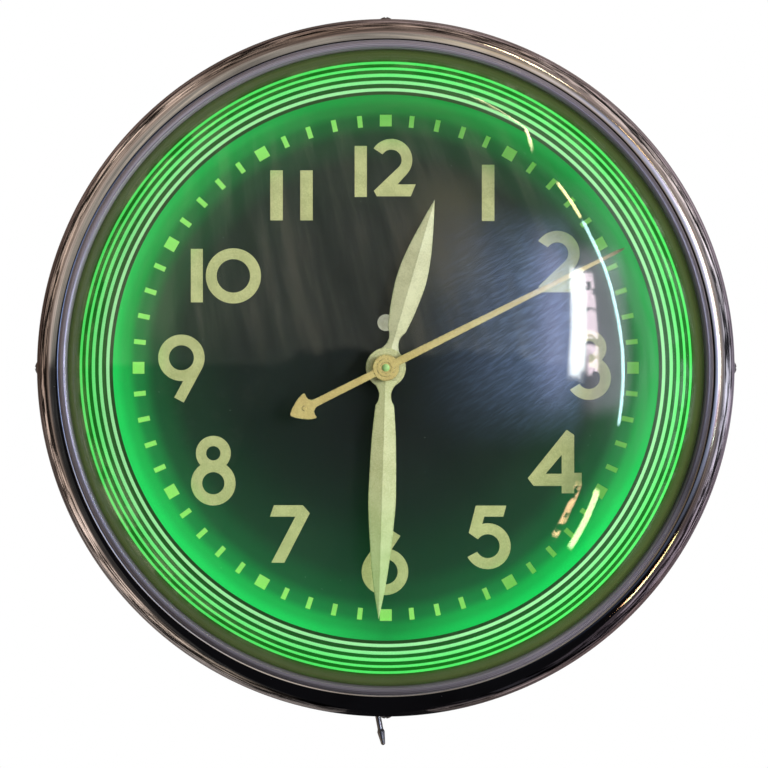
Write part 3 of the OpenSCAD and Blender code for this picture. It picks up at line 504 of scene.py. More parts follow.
@dataclass(frozen=True)
class BorderPaint:
    """Ink on the glass's inner face, whose colour runs with the radius. The tube's light from behind it is
    painted in as emission, uneven round the ring.
    """

    name: str
    stops: Stops
    inner: float
    outer: float
    strength: float
    patch: float = 0.12
    light_round: tuple[Point, ...] = (
        (0.0, 0.96), (0.12, 1.0), (0.25, 0.98), (0.38, 1.0), (0.5, 0.86), (0.62, 0.84), (0.75, 0.92),
        (1.0, 0.96),
    )

    def build(self) -> bpy.types.Material:
        """Builds the lit ink's material."""
        material, g, shader = new_surface(self.name)
        polar = EFFECTS.place(g, Effect.POLAR)
        along = g.div(g.sub(polar["Radius"], self.inner * MM), (self.outer - self.inner) * MM, clamp=True)
        colour = g.ramp(along, self.stops)
        grain = g.add(EFFECTS.mottle(g, 25.0, 5.0), g.mul(EFFECTS.mottle(g, 1500.0, 2.0), 0.5))
        lit = g.mix(self.patch, colour, g.mix(g.fade(grain, 0.45, 1.1), "#000000", colour))
        lit = g.mix(1.0, lit, g.ramp(polar["Angle"], self.light_round), "MULTIPLY")
        # Painted light: the ink glows in its lit colour, in place of the tube's light through it.
        g.fill(shader, {"Base Color": g.mix(0.6, lit, "#060A05"), "Emission Color": lit,
                        "Emission Strength": self.strength, "Roughness": 0.5})
        return material


@dataclass(frozen=True)
class LitDial:
    """Black dial enamel with a grey bloom and dust. The tube's green light along its edge and low down is
    painted in as emission, uneven round the dial.
    """

    name: str = "dial_enamel"
    black: str = "#060808"
    bloom: str = "#101413"
    speck: str = "#C9CFC0"
    # Painted light: green added to the glow low on the dial.
    low: str = "#0A3A1E"
    radius: float = 0.203
    # Painted light: the tube's green glow, growing out towards the dial's edge.
    rings: Stops = (
        (0.0, "#010302"), (0.5, "#020805"), (0.72, "#05200F"), (0.82, "#074821"), (0.885, "#0B8038"),
        (0.93, "#10B44B"), (0.97, "#14D65C"),
    )
    light_round: tuple[Point, ...] = (
        (0.0, 1.0), (0.1, 1.15), (0.2, 1.0), (0.25, 0.5), (0.3, 0.95), (0.4, 1.25), (0.5, 0.66),
        (0.62, 0.58), (0.75, 0.5), (0.88, 0.72), (1.0, 1.0),
    )

    def build(self) -> bpy.types.Material:
        """Builds the dial's material."""
        material, g, shader = new_surface(self.name)
        _, _, z = g.parts(g.spot())
        polar = EFFECTS.place(g, Effect.POLAR)
        cloud, fine = EFFECTS.mottle(g, 16.0, 6.0), EFFECTS.mottle(g, 1800.0, 2.0)
        specks = EFFECTS.specks(g, 150.0, 0.3)
        base = g.mix(g.fade(cloud, 0.35, 0.7), self.black, self.bloom)
        base = g.mix(g.mul(specks, 0.75), base, self.speck)
        wobble = g.mad(cloud, 0.006, g.sub(polar["Radius"], 0.003))
        ring = g.ramp(g.div(wobble, self.radius), self.rings, "EASE")
        lit = g.mix(1.0, ring, g.ramp(polar["Angle"], self.light_round), "MULTIPLY")
        # Painted light: more green glow low on the dial.
        lower = g.mul(g.fade(z, 0.05, -0.2), g.fade(polar["Radius"], 0.04, 0.17))
        lit = g.mix(1.0, lit, g.mix(lower, "#000000", self.low), "ADD")
        lit = g.mix(g.fade(fine, 0.3, 0.8, 0.0, 0.18), lit, "#000000")
        g.fill(shader, {"Base Color": base, "Roughness": g.mad(cloud, 0.2, 0.42), "Emission Color": lit,
                        "Emission Strength": 1.0})
        g.bump(shader, g.add(fine, g.mul(specks, 2.0)), 0.12, 0.0002)
        return material


@dataclass(frozen=True)
class CreamInk:
    """Cream dial ink, speckled. The tube's green light towards the dial's edge and low down is painted into
    its colour and as emission.
    """

    name: str
    colour: str
    second: str
    green: str
    strength: float

    def build(self) -> bpy.types.Material:
        """Builds the ink's material."""
        material, g, shader = new_surface(self.name)
        polar = EFFECTS.place(g, Effect.POLAR)
        _, _, z = g.parts(g.spot())
        cloud, fine = EFFECTS.mottle(g, 90.0, 6.0), EFFECTS.mottle(g, 1400.0, 3.0)
        colour = g.mix(g.fade(g.mad(fine, 0.6, g.mul(cloud, 0.5)), 0.42, 0.7), self.colour, self.second)
        # Painted light: the tube's green, stronger towards the dial's edge and low down.
        lit = g.maths("MAXIMUM", g.fade(polar["Radius"], 0.155, 0.187), g.fade(z, 0.0, -0.2, 0.0, 0.14))
        g.fill(shader, {"Base Color": g.mix(g.mul(lit, 0.75), colour, self.green), "Roughness": 0.55,
                        "Emission Color": g.mix(lit, "#000000", self.green),
                        "Emission Strength": self.strength})
        g.bump(shader, fine, 0.3, 0.0001)
        return material


@dataclass(frozen=True)
class LitTube:
    """Coated glass tube, lit green, paler down its middle and dim at its ends."""

    name: str = "lit_tube"
    colour: str = "#4DFF6E"
    pale: str = "#B4FFC0"
    end: str = "#0C5A1C"
    strength: float = 1.5

    def build(self) -> bpy.types.Material:
        """Builds the tube's material."""
        material, g, shader = new_surface(self.name)
        _, y, _ = g.parts(g.spot())
        cloud = EFFECTS.mottle(g, 50.0)
        colour = g.mix(g.fade(cloud, 0.3, 0.8, 0.0, 0.35), self.colour, self.pale)
        colour = g.mix(g.fade(y, -0.085, -0.062), colour, self.end)
        g.fill(shader, {"Base Color": colour, "Emission Color": colour, "Emission Strength": self.strength,
                        "Roughness": g.mad(cloud, 0.1, 0.1)})
        return material


FINISHES: dict[str, object] = {
    "case_paint": Finish("case_enamel", "#191919", "#232221", 0.42, pattern=Pattern.CRACKLE, pitch=700.0,
                         bump=0.35, worn="#5B5148", dust=0.02),
    "bezel_chrome": MirrorChrome(),
    "dome_glass": ClearGlass(),
    "gasket_rubber": Finish("gasket_rubber", "#111211", "#1D1E1B", 0.75, mottle=120.0, bump=0.3),
    "reflector_white": Finish("reflector_enamel", "#CFE8CF", "#A8CFA9", 0.28, pattern=Pattern.SPUN,
                              pitch=900.0, bump=0.08, coat=0.4),
    "zinc_steel": Finish("zinc_plate", "#B9BABB", "#8D8F90", 0.32, metallic=1.0, mottle=220.0, bump=0.12,
                         worn="#D9D9D7"),
    "dial_black": LitDial(),
    "print_cream": CreamInk("dial_ink", "#D8CC9E", "#BEB488", "#8FE070", 0.1),
    "neon_glass": LitTube(),
    "porcelain": Finish("glazed_porcelain", "#E6E2D4", "#D2CCB9", 0.18, mottle=150.0, bump=0.1, coat=0.8),
    "bakelite": Finish("moulded_brown", "#45230F", "#2A140A", 0.3, mottle=160.0, bump=0.1, coat=0.3,
                       worn="#7A5030"),
    "ht_lead_rubber": Finish("lead_rubber", "#7C1E16", "#5A140F", 0.5, mottle=200.0, bump=0.2),
    "lead_cloth": Finish("braided_cotton", "#B79F63", "#7D6A3C", 0.85, pattern=Pattern.BRAID, pitch=5200.0,
                         bump=0.6),
    "core_steel": Finish("varnished_core", "#4A4643", "#2B2928", 0.45, metallic=0.7, pattern=Pattern.LAYERS,
                         pitch=12000.0, bump=0.5),
    "coil_paper": Finish("varnished_paper", "#A5742F", "#7C5220", 0.5, pattern=Pattern.LAYERS, pitch=5200.0,
                         bump=0.4, coat=0.3),
    "movement_brass": Finish("brushed_brass", "#D9B25A", "#B88C3C", 0.3, metallic=1.0, mottle=320.0,
                             bump=0.12, worn="#EBCB7A"),
    "hand_cream": Finish("hand_enamel", "#D9D3A4", "#CBC493", 0.38, mottle=130.0, bump=0.12, coat=0.25),
    "knob_black": Finish("moulded_black", "#1B1B1C", "#2A2A2A", 0.4, mottle=240.0, bump=0.15, worn="#4A4A48"),
    # The flag's disc glows faintly in its own colour: painted light, so that it reads lit in its window.
    "flag_white": Finish("flag_enamel", "#DCD8C6", "#CBC6B0", 0.5, mottle=200.0, bump=0.12, glow=0.5),
}


class Paintbox:
    """Builds each finish once and hands out its material."""

    def __init__(self) -> None:
        """Starts with nothing built."""
        self.made: dict[str, bpy.types.Material] = {}

    def get(self, finish: object) -> bpy.types.Material:
        """The material of a finish, built when it is first asked for."""
        if finish.name not in self.made:
            self.made[finish.name] = finish.build()
        return self.made[finish.name]

    def dress(self, node: str, finish: object | None = None) -> None:
        """Gives a CAD node its finish, by its record slot unless one is named."""
        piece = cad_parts[node]
        for slot in piece.material_slots:
            name = slot.material.name.split(".")[0]
            slot.material = self.get(finish or FINISHES[name])


PAINTS = Paintbox()


# ---------------------------------------------------------------- mesh building


def arc(centre: Point, radius: float, start: float, end: float, steps: int) -> list[Point]:
    """Points of an arc.

    Args:
        centre: Its centre, as distance from the axis and from the wall.
        radius: Its radius.
        start: First angle in degrees, 0 outwards and 90 to the front.
        end: Last angle.
        steps: How many stretches.

    Returns:
        The points in order.
    """
    angles = [math.radians(start + (end - start) * i / steps) for i in range(steps + 1)]
    return [(centre[0] + radius * math.cos(a), centre[1] + radius * math.sin(a)) for a in angles]


def finish_piece(
    name: str, mesh: bpy.types.Mesh, finish: object, body: str, nodes: Iterable[str] = (),
    sharp: float = 32.0,
) -> bpy.types.Object:
    """Makes a piece of a mesh, and tells the frame what it is.

    Args:
        name: The piece's name.
        mesh: Its mesh, in place.
        finish: The finish it gets.
        body: The body it rides on.
        nodes: CAD nodes that it stands for.
        sharp: Angle in degrees past which an edge stays sharp.

    Returns:
        The piece.
    """
    mesh.shade_smooth()
    mesh.set_sharp_from_angle(angle=math.radians(sharp))
    mesh.materials.clear()
    mesh.materials.append(PAINTS.get(finish))
    piece = bpy.data.objects.new(name, mesh)
    bpy.context.scene.collection.objects.link(piece)
    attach(piece, body)
    if nodes:
        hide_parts(*nodes)
    log.info("%s: %d faces, rides on %s", name, len(mesh.polygons), body)
    return piece


def mesh_of(build: bmesh.types.BMesh, name: str) -> bpy.types.Mesh:
    """Closes a build: merges doubled points, turns faces outwards, and returns the mesh."""
    bmesh.ops.remove_doubles(build, verts=build.verts, dist=1e-7)
    bmesh.ops.recalc_face_normals(build, faces=build.faces)
    mesh = bpy.data.meshes.new(name)
    build.to_mesh(mesh)
    build.free()
    return mesh


def add_lathe(build: bmesh.types.BMesh, section: Sequence[Point], steps: int) -> None:
    """Turns a closed section round the clock's axis.

    Args:
        build: Where the faces go.
        section: Its points, as distance from the axis and from the wall in mm.
        steps: Stretches round the axis.
    """
    rings = []
    for r, d in section:
        if r < 1e-6:
            rings.append([build.verts.new(place(0, d))] * steps)
        else:
            rings.append([build.verts.new(place(r, d, math.tau * i / steps)) for i in range(steps)])
    for one, two in zip(rings, rings[1:] + rings[:1]):
        for i in range(steps):
            j = (i + 1) % steps
            corners = list(dict.fromkeys((one[i], one[j], two[j], two[i])))
            if len(corners) > 2:
                build.faces.new(corners)


def lathe(name: str, section: Sequence[Point], steps: int = RING_STEPS) -> bpy.types.Mesh:
    """A closed section turned round the clock's axis, as a mesh."""
    build = bmesh.new()
    add_lathe(build, section, steps)
    return mesh_of(build, name)


def add_rod(build: bmesh.types.BMesh, sides: int, radius: float, length: float) -> list[bmesh.types.BMVert]:
    """Adds an upright rod about the origin and returns its vertices."""
    made = bmesh.ops.create_cone(build, cap_ends=True, segments=sides, radius1=radius, radius2=radius,
                                 depth=length)
    return made["verts"]


def add_walls(build: bmesh.types.BMesh, rows: Sequence[Sequence[bmesh.types.BMVert]]) -> None:
    """Joins closed rows of vertices to one another, and closes the first and the last."""
    for one, two in zip(rows, rows[1:]):
        for i in range(len(one)):
            j = (i + 1) % len(one)
            build.faces.new((one[i], one[j], two[j], two[i]))
    build.faces.new(rows[0])
    build.faces.new(rows[-1])


class RingOfCopies:
    """A Geometry Nodes tree that repeats one shape round the clock's axis."""

    def __init__(self) -> None:
        """Builds the tree with its named inputs."""
        tree = bpy.data.node_groups.new("ring_of_copies", "GeometryNodeTree")
        tree.interface.new_socket("Geometry", in_out="OUTPUT", socket_type="NodeSocketGeometry")
        for name, kind in (("Copy", "Object"), ("Count", "Int"), ("Radius", "Float"), ("Start", "Float"),
                           ("Centre", "Vector"), ("Finish", "Material")):
            tree.interface.new_socket(name, in_out="INPUT", socket_type=f"NodeSocket{kind}")
        g = Graph(tree)
        start, end = g.node("NodeGroupInput"), g.node("NodeGroupOutput")
        given = start.outputs
        index = g.node("GeometryNodeInputIndex").outputs[0]
        angle = g.mad(index, g.div(math.tau, given["Count"]), given["Start"])
        spot = g.vector(g.mul(g.maths("COSINE", angle), given["Radius"]), 0.0,
                        g.mul(g.maths("SINE", angle), given["Radius"]))
        shifted = g.node("ShaderNodeVectorMath", (spot, given["Centre"]), operation="ADD").outputs[0]
        points = g.node("GeometryNodePoints", {"Count": given["Count"], "Position": shifted}).outputs[0]
        info = g.node("GeometryNodeObjectInfo", {"Object": given["Copy"]})
        turn = g.node("FunctionNodeEulerToRotation", (g.vector(0.0, g.mul(angle, -1.0), 0.0),)).outputs[0]
        copies = g.node("GeometryNodeInstanceOnPoints", {
            "Points": points, "Instance": info.outputs["Geometry"], "Rotation": turn}).outputs[0]
        real = g.node("GeometryNodeRealizeInstances", (copies,)).outputs[0]
        done = g.node("GeometryNodeSetMaterial", {"Geometry": real, "Material": given["Finish"]})
        g.feed(end.inputs[0], done.outputs[0])
        self.tree = tree

    def make(self, name: str, shape: bpy.types.Mesh, finish: object, **sizes: object) -> bpy.types.Mesh:
        """Runs the tree and keeps its result as a plain mesh.

        Args:
            name: The result's name.
            shape: The mesh to repeat, drawn about the origin with x outwards.
            finish: Its finish.
            sizes: Count, Radius, Start and Centre.

        Returns:
            The repeated shape.
        """
        copy = bpy.data.objects.new(f"{name}_shape", shape)
        host = bpy.data.objects.new(f"{name}_host", bpy.data.meshes.new(f"{name}_host"))
        for thing in (copy, host):
            bpy.context.scene.collection.objects.link(thing)
        modifier = host.modifiers.new("copies", "NODES")
        modifier.node_group = self.tree
        given = {**sizes, "Copy": copy, "Finish": PAINTS.get(finish)}
        for socket in self.tree.interface.items_tree:
            if socket.in_out == "INPUT" and socket.name in given:
                modifier[socket.identifier] = given[socket.name]
        seen = host.evaluated_get(bpy.context.evaluated_depsgraph_get())
        mesh = bpy.data.meshes.new_from_object(seen)
        mesh.name = name
        host.modifiers.remove(modifier)
        for thing in (copy, host):
            bpy.data.objects.remove(thing)
        return mesh


# ---------------------------------------------------------------- the case and bezel


@dataclass
class Case:
    """The spun case, its chrome bezel, screws, hanger, bushing, knob and switch."""

    sheet: float = 1.2
    roll: float = 16.0
    crease: float = 0.7
    bead: float = 3.2
    leg: float = 2.8
    knob_ribs: int = 40
    nut_knurls: int = 36
    plain_nodes: tuple[str, ...] = (
        "case_pan", "hanger_plate", "cord_bushing", "glass_gasket", "reflector_ring", "reflector_screws",
        "bezel_screws", "switch_body", "switch_leads", "terminal_block", "toggle_lever", "switch_nut",
        "set_knob",
    )
    copies: RingOfCopies = field(default_factory=RingOfCopies)

    def build(self) -> None:
        """Builds and dresses the case's pieces."""
        for node in self.plain_nodes:
            PAINTS.dress(node)
        self.spin_bezel()
        self.knurl_knob()
        self.knurl_nut()

    def section(self) -> list[Point]:
        """The bezel's closed section, from the back of its skirt round the roll and bead."""
        low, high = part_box("bezel")
        r, back, front = high.x / MM, -high.y / MM, -low.y / MM
        t = self.sheet
        bead_d = front - self.bead
        roll = (r - self.roll, bead_d - 1 - self.roll)
        bead = (roll[0] - self.crease - self.bead, bead_d)
        leg = bead_d - self.leg
        outside = [(r - 0.3, back), (r, back + 0.4), *arc(roll, self.roll, 0, 88, 26),
                   (roll[0] - 0.3, roll[1] + self.roll - 0.2), (bead[0] + self.bead + 0.1, bead_d - 0.45),
                   *arc(bead, self.bead, -4, 180, 22), (bead[0] - self.bead, leg)]
        inside = [(bead[0] - self.bead + t, leg), *arc(bead, self.bead - t, 180, 0, 12),
                  (bead[0] + self.bead - t, roll[1] + self.roll - t),
                  *arc(roll, self.roll - t, 90, 0, 16), (r - t, back)]
        return outside + inside

    def spin_bezel(self) -> None:
        """The chrome bezel, in one smooth sheet."""
        finish_piece("chrome_bezel", lathe("chrome_bezel", self.section(), 360), FINISHES["bezel_chrome"],
                     "case", ["bezel"], sharp=50)

    def knurl_knob(self) -> None:
        """Ribs round the set knob, repeated from one rib."""
        low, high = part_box("set_knob")
        radius = (high.x - low.x) / 2
        rib = bmesh.new()
        add_rod(rib, 8, 0.7 * MM, (high.y - low.y) * 0.8)
        bmesh.ops.rotate(rib, verts=rib.verts, cent=(0, 0, 0), matrix=Matrix.Rotation(math.pi / 2, 3, "X"))
        centre = tuple((low + high) / 2)
        mesh = self.copies.make("knob_ribs", mesh_of(rib, "rib"), FINISHES["knob_black"],
                                Count=self.knob_ribs, Radius=radius - 0.1 * MM, Start=0.0, Centre=centre)
        finish_piece("knob_ribs", mesh, FINISHES["knob_black"], "setting")

    def knurl_nut(self) -> None:
        """Knurls round the switch's ring nut, whose axis is upright."""
        low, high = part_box("switch_nut")
        radius = (high.x - low.x) / 2
        centre = (low + high) / 2
        build = bmesh.new()
        for i in range(self.nut_knurls):
            a = math.tau * i / self.nut_knurls
            rod = add_rod(build, 6, 0.45 * MM, (high.z - low.z) * 0.9)
            bmesh.ops.translate(build, verts=rod, vec=centre + Vector((math.cos(a), math.sin(a), 0)) * radius)
        finish_piece("nut_knurls", mesh_of(build, "nut_knurls"), FINISHES["zinc_steel"], "case")


# ---------------------------------------------------------------- the glass


# The lit colours of the border's ground and stripes, painted in as emission.
GROUND_LIGHT: Stops = (
    (0.0, "#23401F"), (0.09, "#1F4A1C"), (0.2, "#1A561E"), (0.34, "#12621C"), (0.49, "#0C6A18"),
    (0.64, "#0A7012"), (0.735, "#245C14"), (0.79, "#44562A"), (0.92, "#525C32"), (1.0, "#3A4528"),
)
STRIPE_LIGHT: Stops = (
    (0.0, "#A8F0AC"), (0.2, "#9CF0A4"), (0.45, "#7CF68E"), (0.7, "#66FA7C"), (1.0, "#54F46C"),
)


@dataclass
class DomeGlass:
    """The domed glass and the border inked on its inner face."""

    thick: float = 3.0
    cap: float = 533.6
    knuckle: float = 66.0
    slope: float = 22.0
    stripes: tuple[Point, ...] = (
        (220.6, 218.75), (216.25, 214.4), (211.75, 209.3), (206.7, 204.3), (201.25, 198.9),
    )
    border: Point = (196.4, 229.8)
    ink: float = 0.05
    stripe_inset: float = 0.06
    ground_inset: float = 0.16

    def __post_init__(self) -> None:
        """Takes the glass's place from its CAD node."""
        low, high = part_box("dome_glass")
        self.apex = -low.y / MM
        self.seat = -high.y / MM
        self.cap_d = self.apex - self.cap
        s = math.radians(self.slope)
        self.knuckle_r = (self.cap - self.knuckle) * math.sin(s)
        self.knuckle_d = self.cap_d + (self.cap - self.knuckle) * math.cos(s)

    def surface(self, r: float, inset: float) -> Point:
        """The point r mm from the axis on the surface that lies inset mm under the outer one."""
        if r <= self.knuckle_r + (self.knuckle - inset) * math.sin(math.radians(self.slope)):
            return r, self.cap_d + math.sqrt((self.cap - inset) ** 2 - r * r)
        return r, self.knuckle_d + math.sqrt((self.knuckle - inset) ** 2 - (r - self.knuckle_r) ** 2)

    def side(self, inset: float) -> list[Point]:
        """The section of one face of the glass, from its middle to its rim."""
        cap, knuckle = self.cap - inset, self.knuckle - inset
        last = math.degrees(math.acos((self.seat - self.knuckle_d) / knuckle))
        bend = arc((self.knuckle_r, self.knuckle_d), knuckle, 90 - self.slope, 90 - last, 36)
        return arc((0.0, self.cap_d), cap, 90, 90 - self.slope, 40) + bend[1:]

    def band(self, inner: float, outer: float, inset: float, steps: int) -> list[Point]:
        """A thin closed strip on the inner face, from one radius to another."""
        radii = [inner + (outer - inner) * i / steps for i in range(steps + 1)]
        front = [self.surface(r, inset) for r in radii]
        return front + [self.surface(r, inset + self.ink) for r in reversed(radii)]

    def build(self) -> None:
        """Builds the glass and its border."""
        section = self.side(0.0) + list(reversed(self.side(self.thick)))
        finish_piece("domed_glass", lathe("domed_glass", section, 320), FINISHES["dome_glass"], "case",
                     ["dome_glass"], sharp=60)
        low, high = self.border
        ground = self.band(low, high, self.thick + self.ground_inset, 24)
        finish_piece("border_ground", lathe("border_ground", ground),
                     BorderPaint("border_ground", GROUND_LIGHT, low, high, 0.9), "case")
        build = bmesh.new()
        for outer, inner in self.stripes:
            add_lathe(build, self.band(inner, outer, self.thick + self.stripe_inset, 4), RING_STEPS)
        inner, outer = self.stripes[-1][1], self.stripes[0][0]
        lines = BorderPaint("border_stripes", STRIPE_LIGHT, inner, outer, 0.84, patch=0.08)
        finish_piece("border_stripes", mesh_of(build, "border_stripes"), lines, "case")


# ---------------------------------------------------------------- the dial and hands


@dataclass
class Dial:
    """The dial plate, its ink and what is fixed to it."""

    nodes: tuple[str, ...] = ("dial", "dial_numerals", "dial_studs", "stud_nuts", "stud_spacers",
                              "flag_post", "indicator_flag")
    # The marks' ink colours are tinted green all over: the tube's light painted into their colour.
    marks: CreamInk = CreamInk("marker_ink", "#BFD78A", "#A9CC78", "#86DB63", 0.3)

    def build(self) -> None:
        """Dresses the dial."""
        for node in self.nodes:
            PAINTS.dress(node)
        PAINTS.dress("dial_markers", self.marks)


@dataclass(frozen=True)
class HandPaint:
    """Cream hand enamel, stained and speckled. The tube's green light, low down and away from the middle, is
    painted into its colour.
    """

    name: str
    colour: str
    second: str
    green: float = 0.35

    def build(self) -> bpy.types.Material:
        """Builds the hand's material."""
        material, g, shader = new_surface(self.name)
        polar = EFFECTS.place(g, Effect.POLAR)
        _, _, z = g.parts(g.spot())
        cloud, fine = EFFECTS.mottle(g, 75.0, 7.0), EFFECTS.mottle(g, 900.0)
        rim = EFFECTS.place(g, Effect.WEAR, Width=0.0013, Breakup=500.0)["Mask"]
        colour = g.mix(g.fade(g.mad(fine, 0.5, g.mul(cloud, 0.6)), 0.4, 0.72), self.colour, self.second)
        colour = g.mix(g.mul(EFFECTS.specks(g, 520.0, 0.12), 0.6), colour, "#837B55")
        # Darker along the hand's edges.
        colour = g.mix(g.mul(rim, 0.9), colour, "#3F3B22")
        # Painted light: the tube's green on the lower, outer part of the hand.
        lit = g.mul(g.fade(z, -0.02, -0.17), g.fade(polar["Radius"], 0.03, 0.15))
        colour = g.mix(g.mul(lit, self.green), colour, "#A6D98A")
        g.fill(shader, {"Base Color": colour, "Roughness": g.mad(cloud, 0.2, 0.3), "Coat Weight": 0.3,
                        "Coat Roughness": 0.2})
        g.bump(shader, fine, 0.2, 0.0002)
        return material


@dataclass
class Hand:
    """One hand: a blade creased down its middle on a pressed eye."""

    name: str
    node: str
    body: str
    angle: float
    stations: tuple[Point, ...]
    eye: float
    hole: float
    crest: float
    paint: HandPaint
    thick: float = 0.8
    ridge: float = 17.0

    def at(self, u: float, v: float, d: float) -> Vector:
        """The point u mm to the right of the hand's middle, v mm along it and d mm from the wall."""
        a = math.radians(self.angle)
        return Vector((u * math.cos(a) + v * math.sin(a), -d, v * math.cos(a) - u * math.sin(a))) * MM

    def blade(self, build: bmesh.types.BMesh, base: float) -> None:
        """Adds the creased blade, whose middle stands proud and whose back is hollow."""
        rows = []
        widest = max(w for _, w in self.stations)
        for v, half in self.stations:
            rise = self.crest * min(1.0, half / widest)
            edge = min(0.35, half * 0.3)
            front, side = base + self.thick, base + self.thick * 0.55
            slope = front + rise * 0.48
            points = ((-half, base), (-half, side), (edge - half, front), (-half * 0.5, slope),
                      (0, front + rise), (half * 0.5, slope), (half - edge, front), (half, side),
                      (half, base), (0, base + rise * 0.6))
            rows.append([build.verts.new(self.at(u, v, d)) for u, d in points])
        add_walls(build, rows)

    def eye_section(self, base: float) -> list[Point]:
        """The eye's section: a flat ring with a pressed step and a raised collar round its hole."""
        r, h, face = self.eye, self.hole, base + self.thick
        return [(h, base), (r, base), (r, base + self.thick * 0.6), (r - 0.4, face), (r - 2.2, face),
                (r - 2.7, face + 0.25), (r - 4.4, face + 0.25), (r - 5.0, face - 0.05),
                (h + 2.4, face - 0.05), (h + 2.0, face + 0.5), (h, face + 0.5)]

    def hand_in(self, build: bmesh.types.BMesh) -> None:
        """Makes the piece of the build, in place of its CAD node."""
        finish_piece(self.name, mesh_of(build, self.name), self.paint, self.body, [self.node],
                     sharp=self.ridge)

    def build(self) -> None:
        """Builds the hand in place of its CAD node."""
        _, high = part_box(self.node)
        base = -high.y / MM
        build = bmesh.new()
        self.blade(build, base)
        add_lathe(build, self.eye_section(base), EYE_STEPS)
        self.hand_in(build)


def smooth_stations(points: Sequence[Point], steps: int = 7) -> tuple[Point, ...]:
    """Runs a smooth curve through stated half widths along a hand.

    Args:
        points: Distance along the hand and half width, in order.
        steps: Stretches between two of them.

    Returns:
        Closer points on the curve.
    """
    made: list[Point] = []
    for i in range(len(points) - 1):
        p0, p1, p2, p3 = (points[max(0, min(len(points) - 1, i + k))] for k in (-1, 0, 1, 2))
        for s in range(steps):
            t = s / steps
            made.append(tuple(
                0.5 * (2 * b + (c - a) * t + (2 * a - 5 * b + 4 * c - d) * t * t
                       + (3 * b - a - 3 * c + d) * t * t * t)
                for a, b, c, d in zip(p0, p1, p2, p3)))
    made.append(tuple(points[-1]))
    return tuple((v, max(w, THIN)) for v, w in made)


@dataclass
class SweepHand(Hand):
    """The second hand: a thin blade, a boss, and a tail that ends in an arrowhead."""

    boss: float = 9.6
    dot: float = -65.8

    def build(self) -> None:
        """Builds the second hand in place of its CAD node."""
        low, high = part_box(self.node)
        base = -low.y / MM - self.thick
        foot = -high.y / MM
        r, face = self.boss, base + self.thick
        build = bmesh.new()
        self.blade(build, base)
        add_lathe(build, [(self.hole, foot), (r - 0.3, foot), (r, foot + 0.4), (r, base + self.thick * 0.5),
                          (r - 0.6, face), (r - 3.0, face), (r - 3.4, face + 0.3), (r - 5.4, face + 0.3),
                          (r - 5.8, face), (self.hole, face)], EYE_STEPS)
        self.arrow(build, base)
        self.hand_in(build)

    def arrow(self, build: bmesh.types.BMesh, base: float) -> None:
        """Adds the tail's bar and its swept arrowhead, with a dot pressed in it."""
        face = base + self.thick
        half = [(2.6, 0.3 - self.boss), (2.8, -56.5), (3.3, -58.5), (4.8, -60.3), (7.0, -61.0), (9.5, -60.7),
                (10.1, -61.5), (9.8, -63.5), (8.6, -66.8), (6.2, -70.6), (3.2, -74.7), (1.0, -76.7),
                (0.0, -77.0)]
        outline = half + [(-u, v) for u, v in reversed(half[:-1])]
        add_walls(build, [[build.verts.new(self.at(u * share, v, d)) for u, v in outline]
                          for share, d in ((1.0, base), (0.97, face))])
        circle = [(math.cos(math.tau * i / 20), math.sin(math.tau * i / 20)) for i in range(20)]
        rings = ((1.9, face - 0.3), (1.5, face + 0.35), (0.9, face + 0.42))
        add_walls(build, [[build.verts.new(self.at(r * u, self.dot + r * v, d)) for u, v in circle]
                          for r, d in rings])


HOUR_SHAPE: tuple[Point, ...] = (
    (9, 9.5), (12, 7.6), (15, 5.5), (19, 4.05), (23, 4.1), (26, 5.2), (28.5, 6.7), (32, 7.4), (45, 9.4),
    (66, 11), (86, 9.1), (107, 4.9), (127, 0.1),
)
MINUTE_SHAPE: tuple[Point, ...] = (
    (9, 9.5), (12, 7.7), (15, 5.7), (18.6, 4.4), (22.5, 4.6), (25, 5.3), (27, 6.5), (29, 6.9), (52, 8.8),
    (82, 9.8), (103, 9.8), (138, 6.9), (161, 3.9), (182, 0.1),
)
SWEEP_SHAPE: tuple[Point, ...] = ((4, 2.9), (60, 2.5), (120, 2.0), (186, 1.3), (189, 1.1), (193, 0.2))


@dataclass
class Hands:
    """The three hands, each at its angle in degrees from 12, and the cap over them."""

    hour_angle: float = 16.2
    minute_angle: float = 181.65
    second_angle: float = 63.4

    def build(self) -> None:
        """Builds each hand, and dresses the cap."""
        Hand("creased_hour_hand", "hour_hand", "hours", self.hour_angle, smooth_stations(HOUR_SHAPE),
             eye=14.5, hole=3.2, crest=2.6, paint=HandPaint("hour_cream", "#E0D2B8", "#C8BA9E")).build()
        Hand("creased_minute_hand", "minute_hand", "minutes", self.minute_angle,
             smooth_stations(MINUTE_SHAPE), eye=14.5, hole=1.9, crest=2.2,
             paint=HandPaint("minute_cream", "#E0D4B0", "#C8BE94", 0.4)).build()
        SweepHand("sweep_second_hand", "second_hand", "seconds", self.second_angle, SWEEP_SHAPE,
                  eye=9.8, hole=0.75, crest=0.5,
                  paint=HandPaint("second_cream", "#E2C48B", "#CEAC77", 0.2)).build()
        PAINTS.dress("hand_cap", Finish("cap_enamel", "#B9D79A", "#9CC383", 0.3, mottle=300.0, coat=0.5))


# ---------------------------------------------------------------- inside


@dataclass
class Works:
    """The movement, motor, tube, transformer and wiring inside the case."""

    def build(self) -> None:
        """Dresses every node that has not been dressed yet."""
        for name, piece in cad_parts.items():
            done = {m.name for m in PAINTS.made.values()}
            if any(s.material.name not in done for s in piece.material_slots):
                PAINTS.dress(name)
        log.info("works dressed")


# ---------------------------------------------------------------- camera, room and lamps


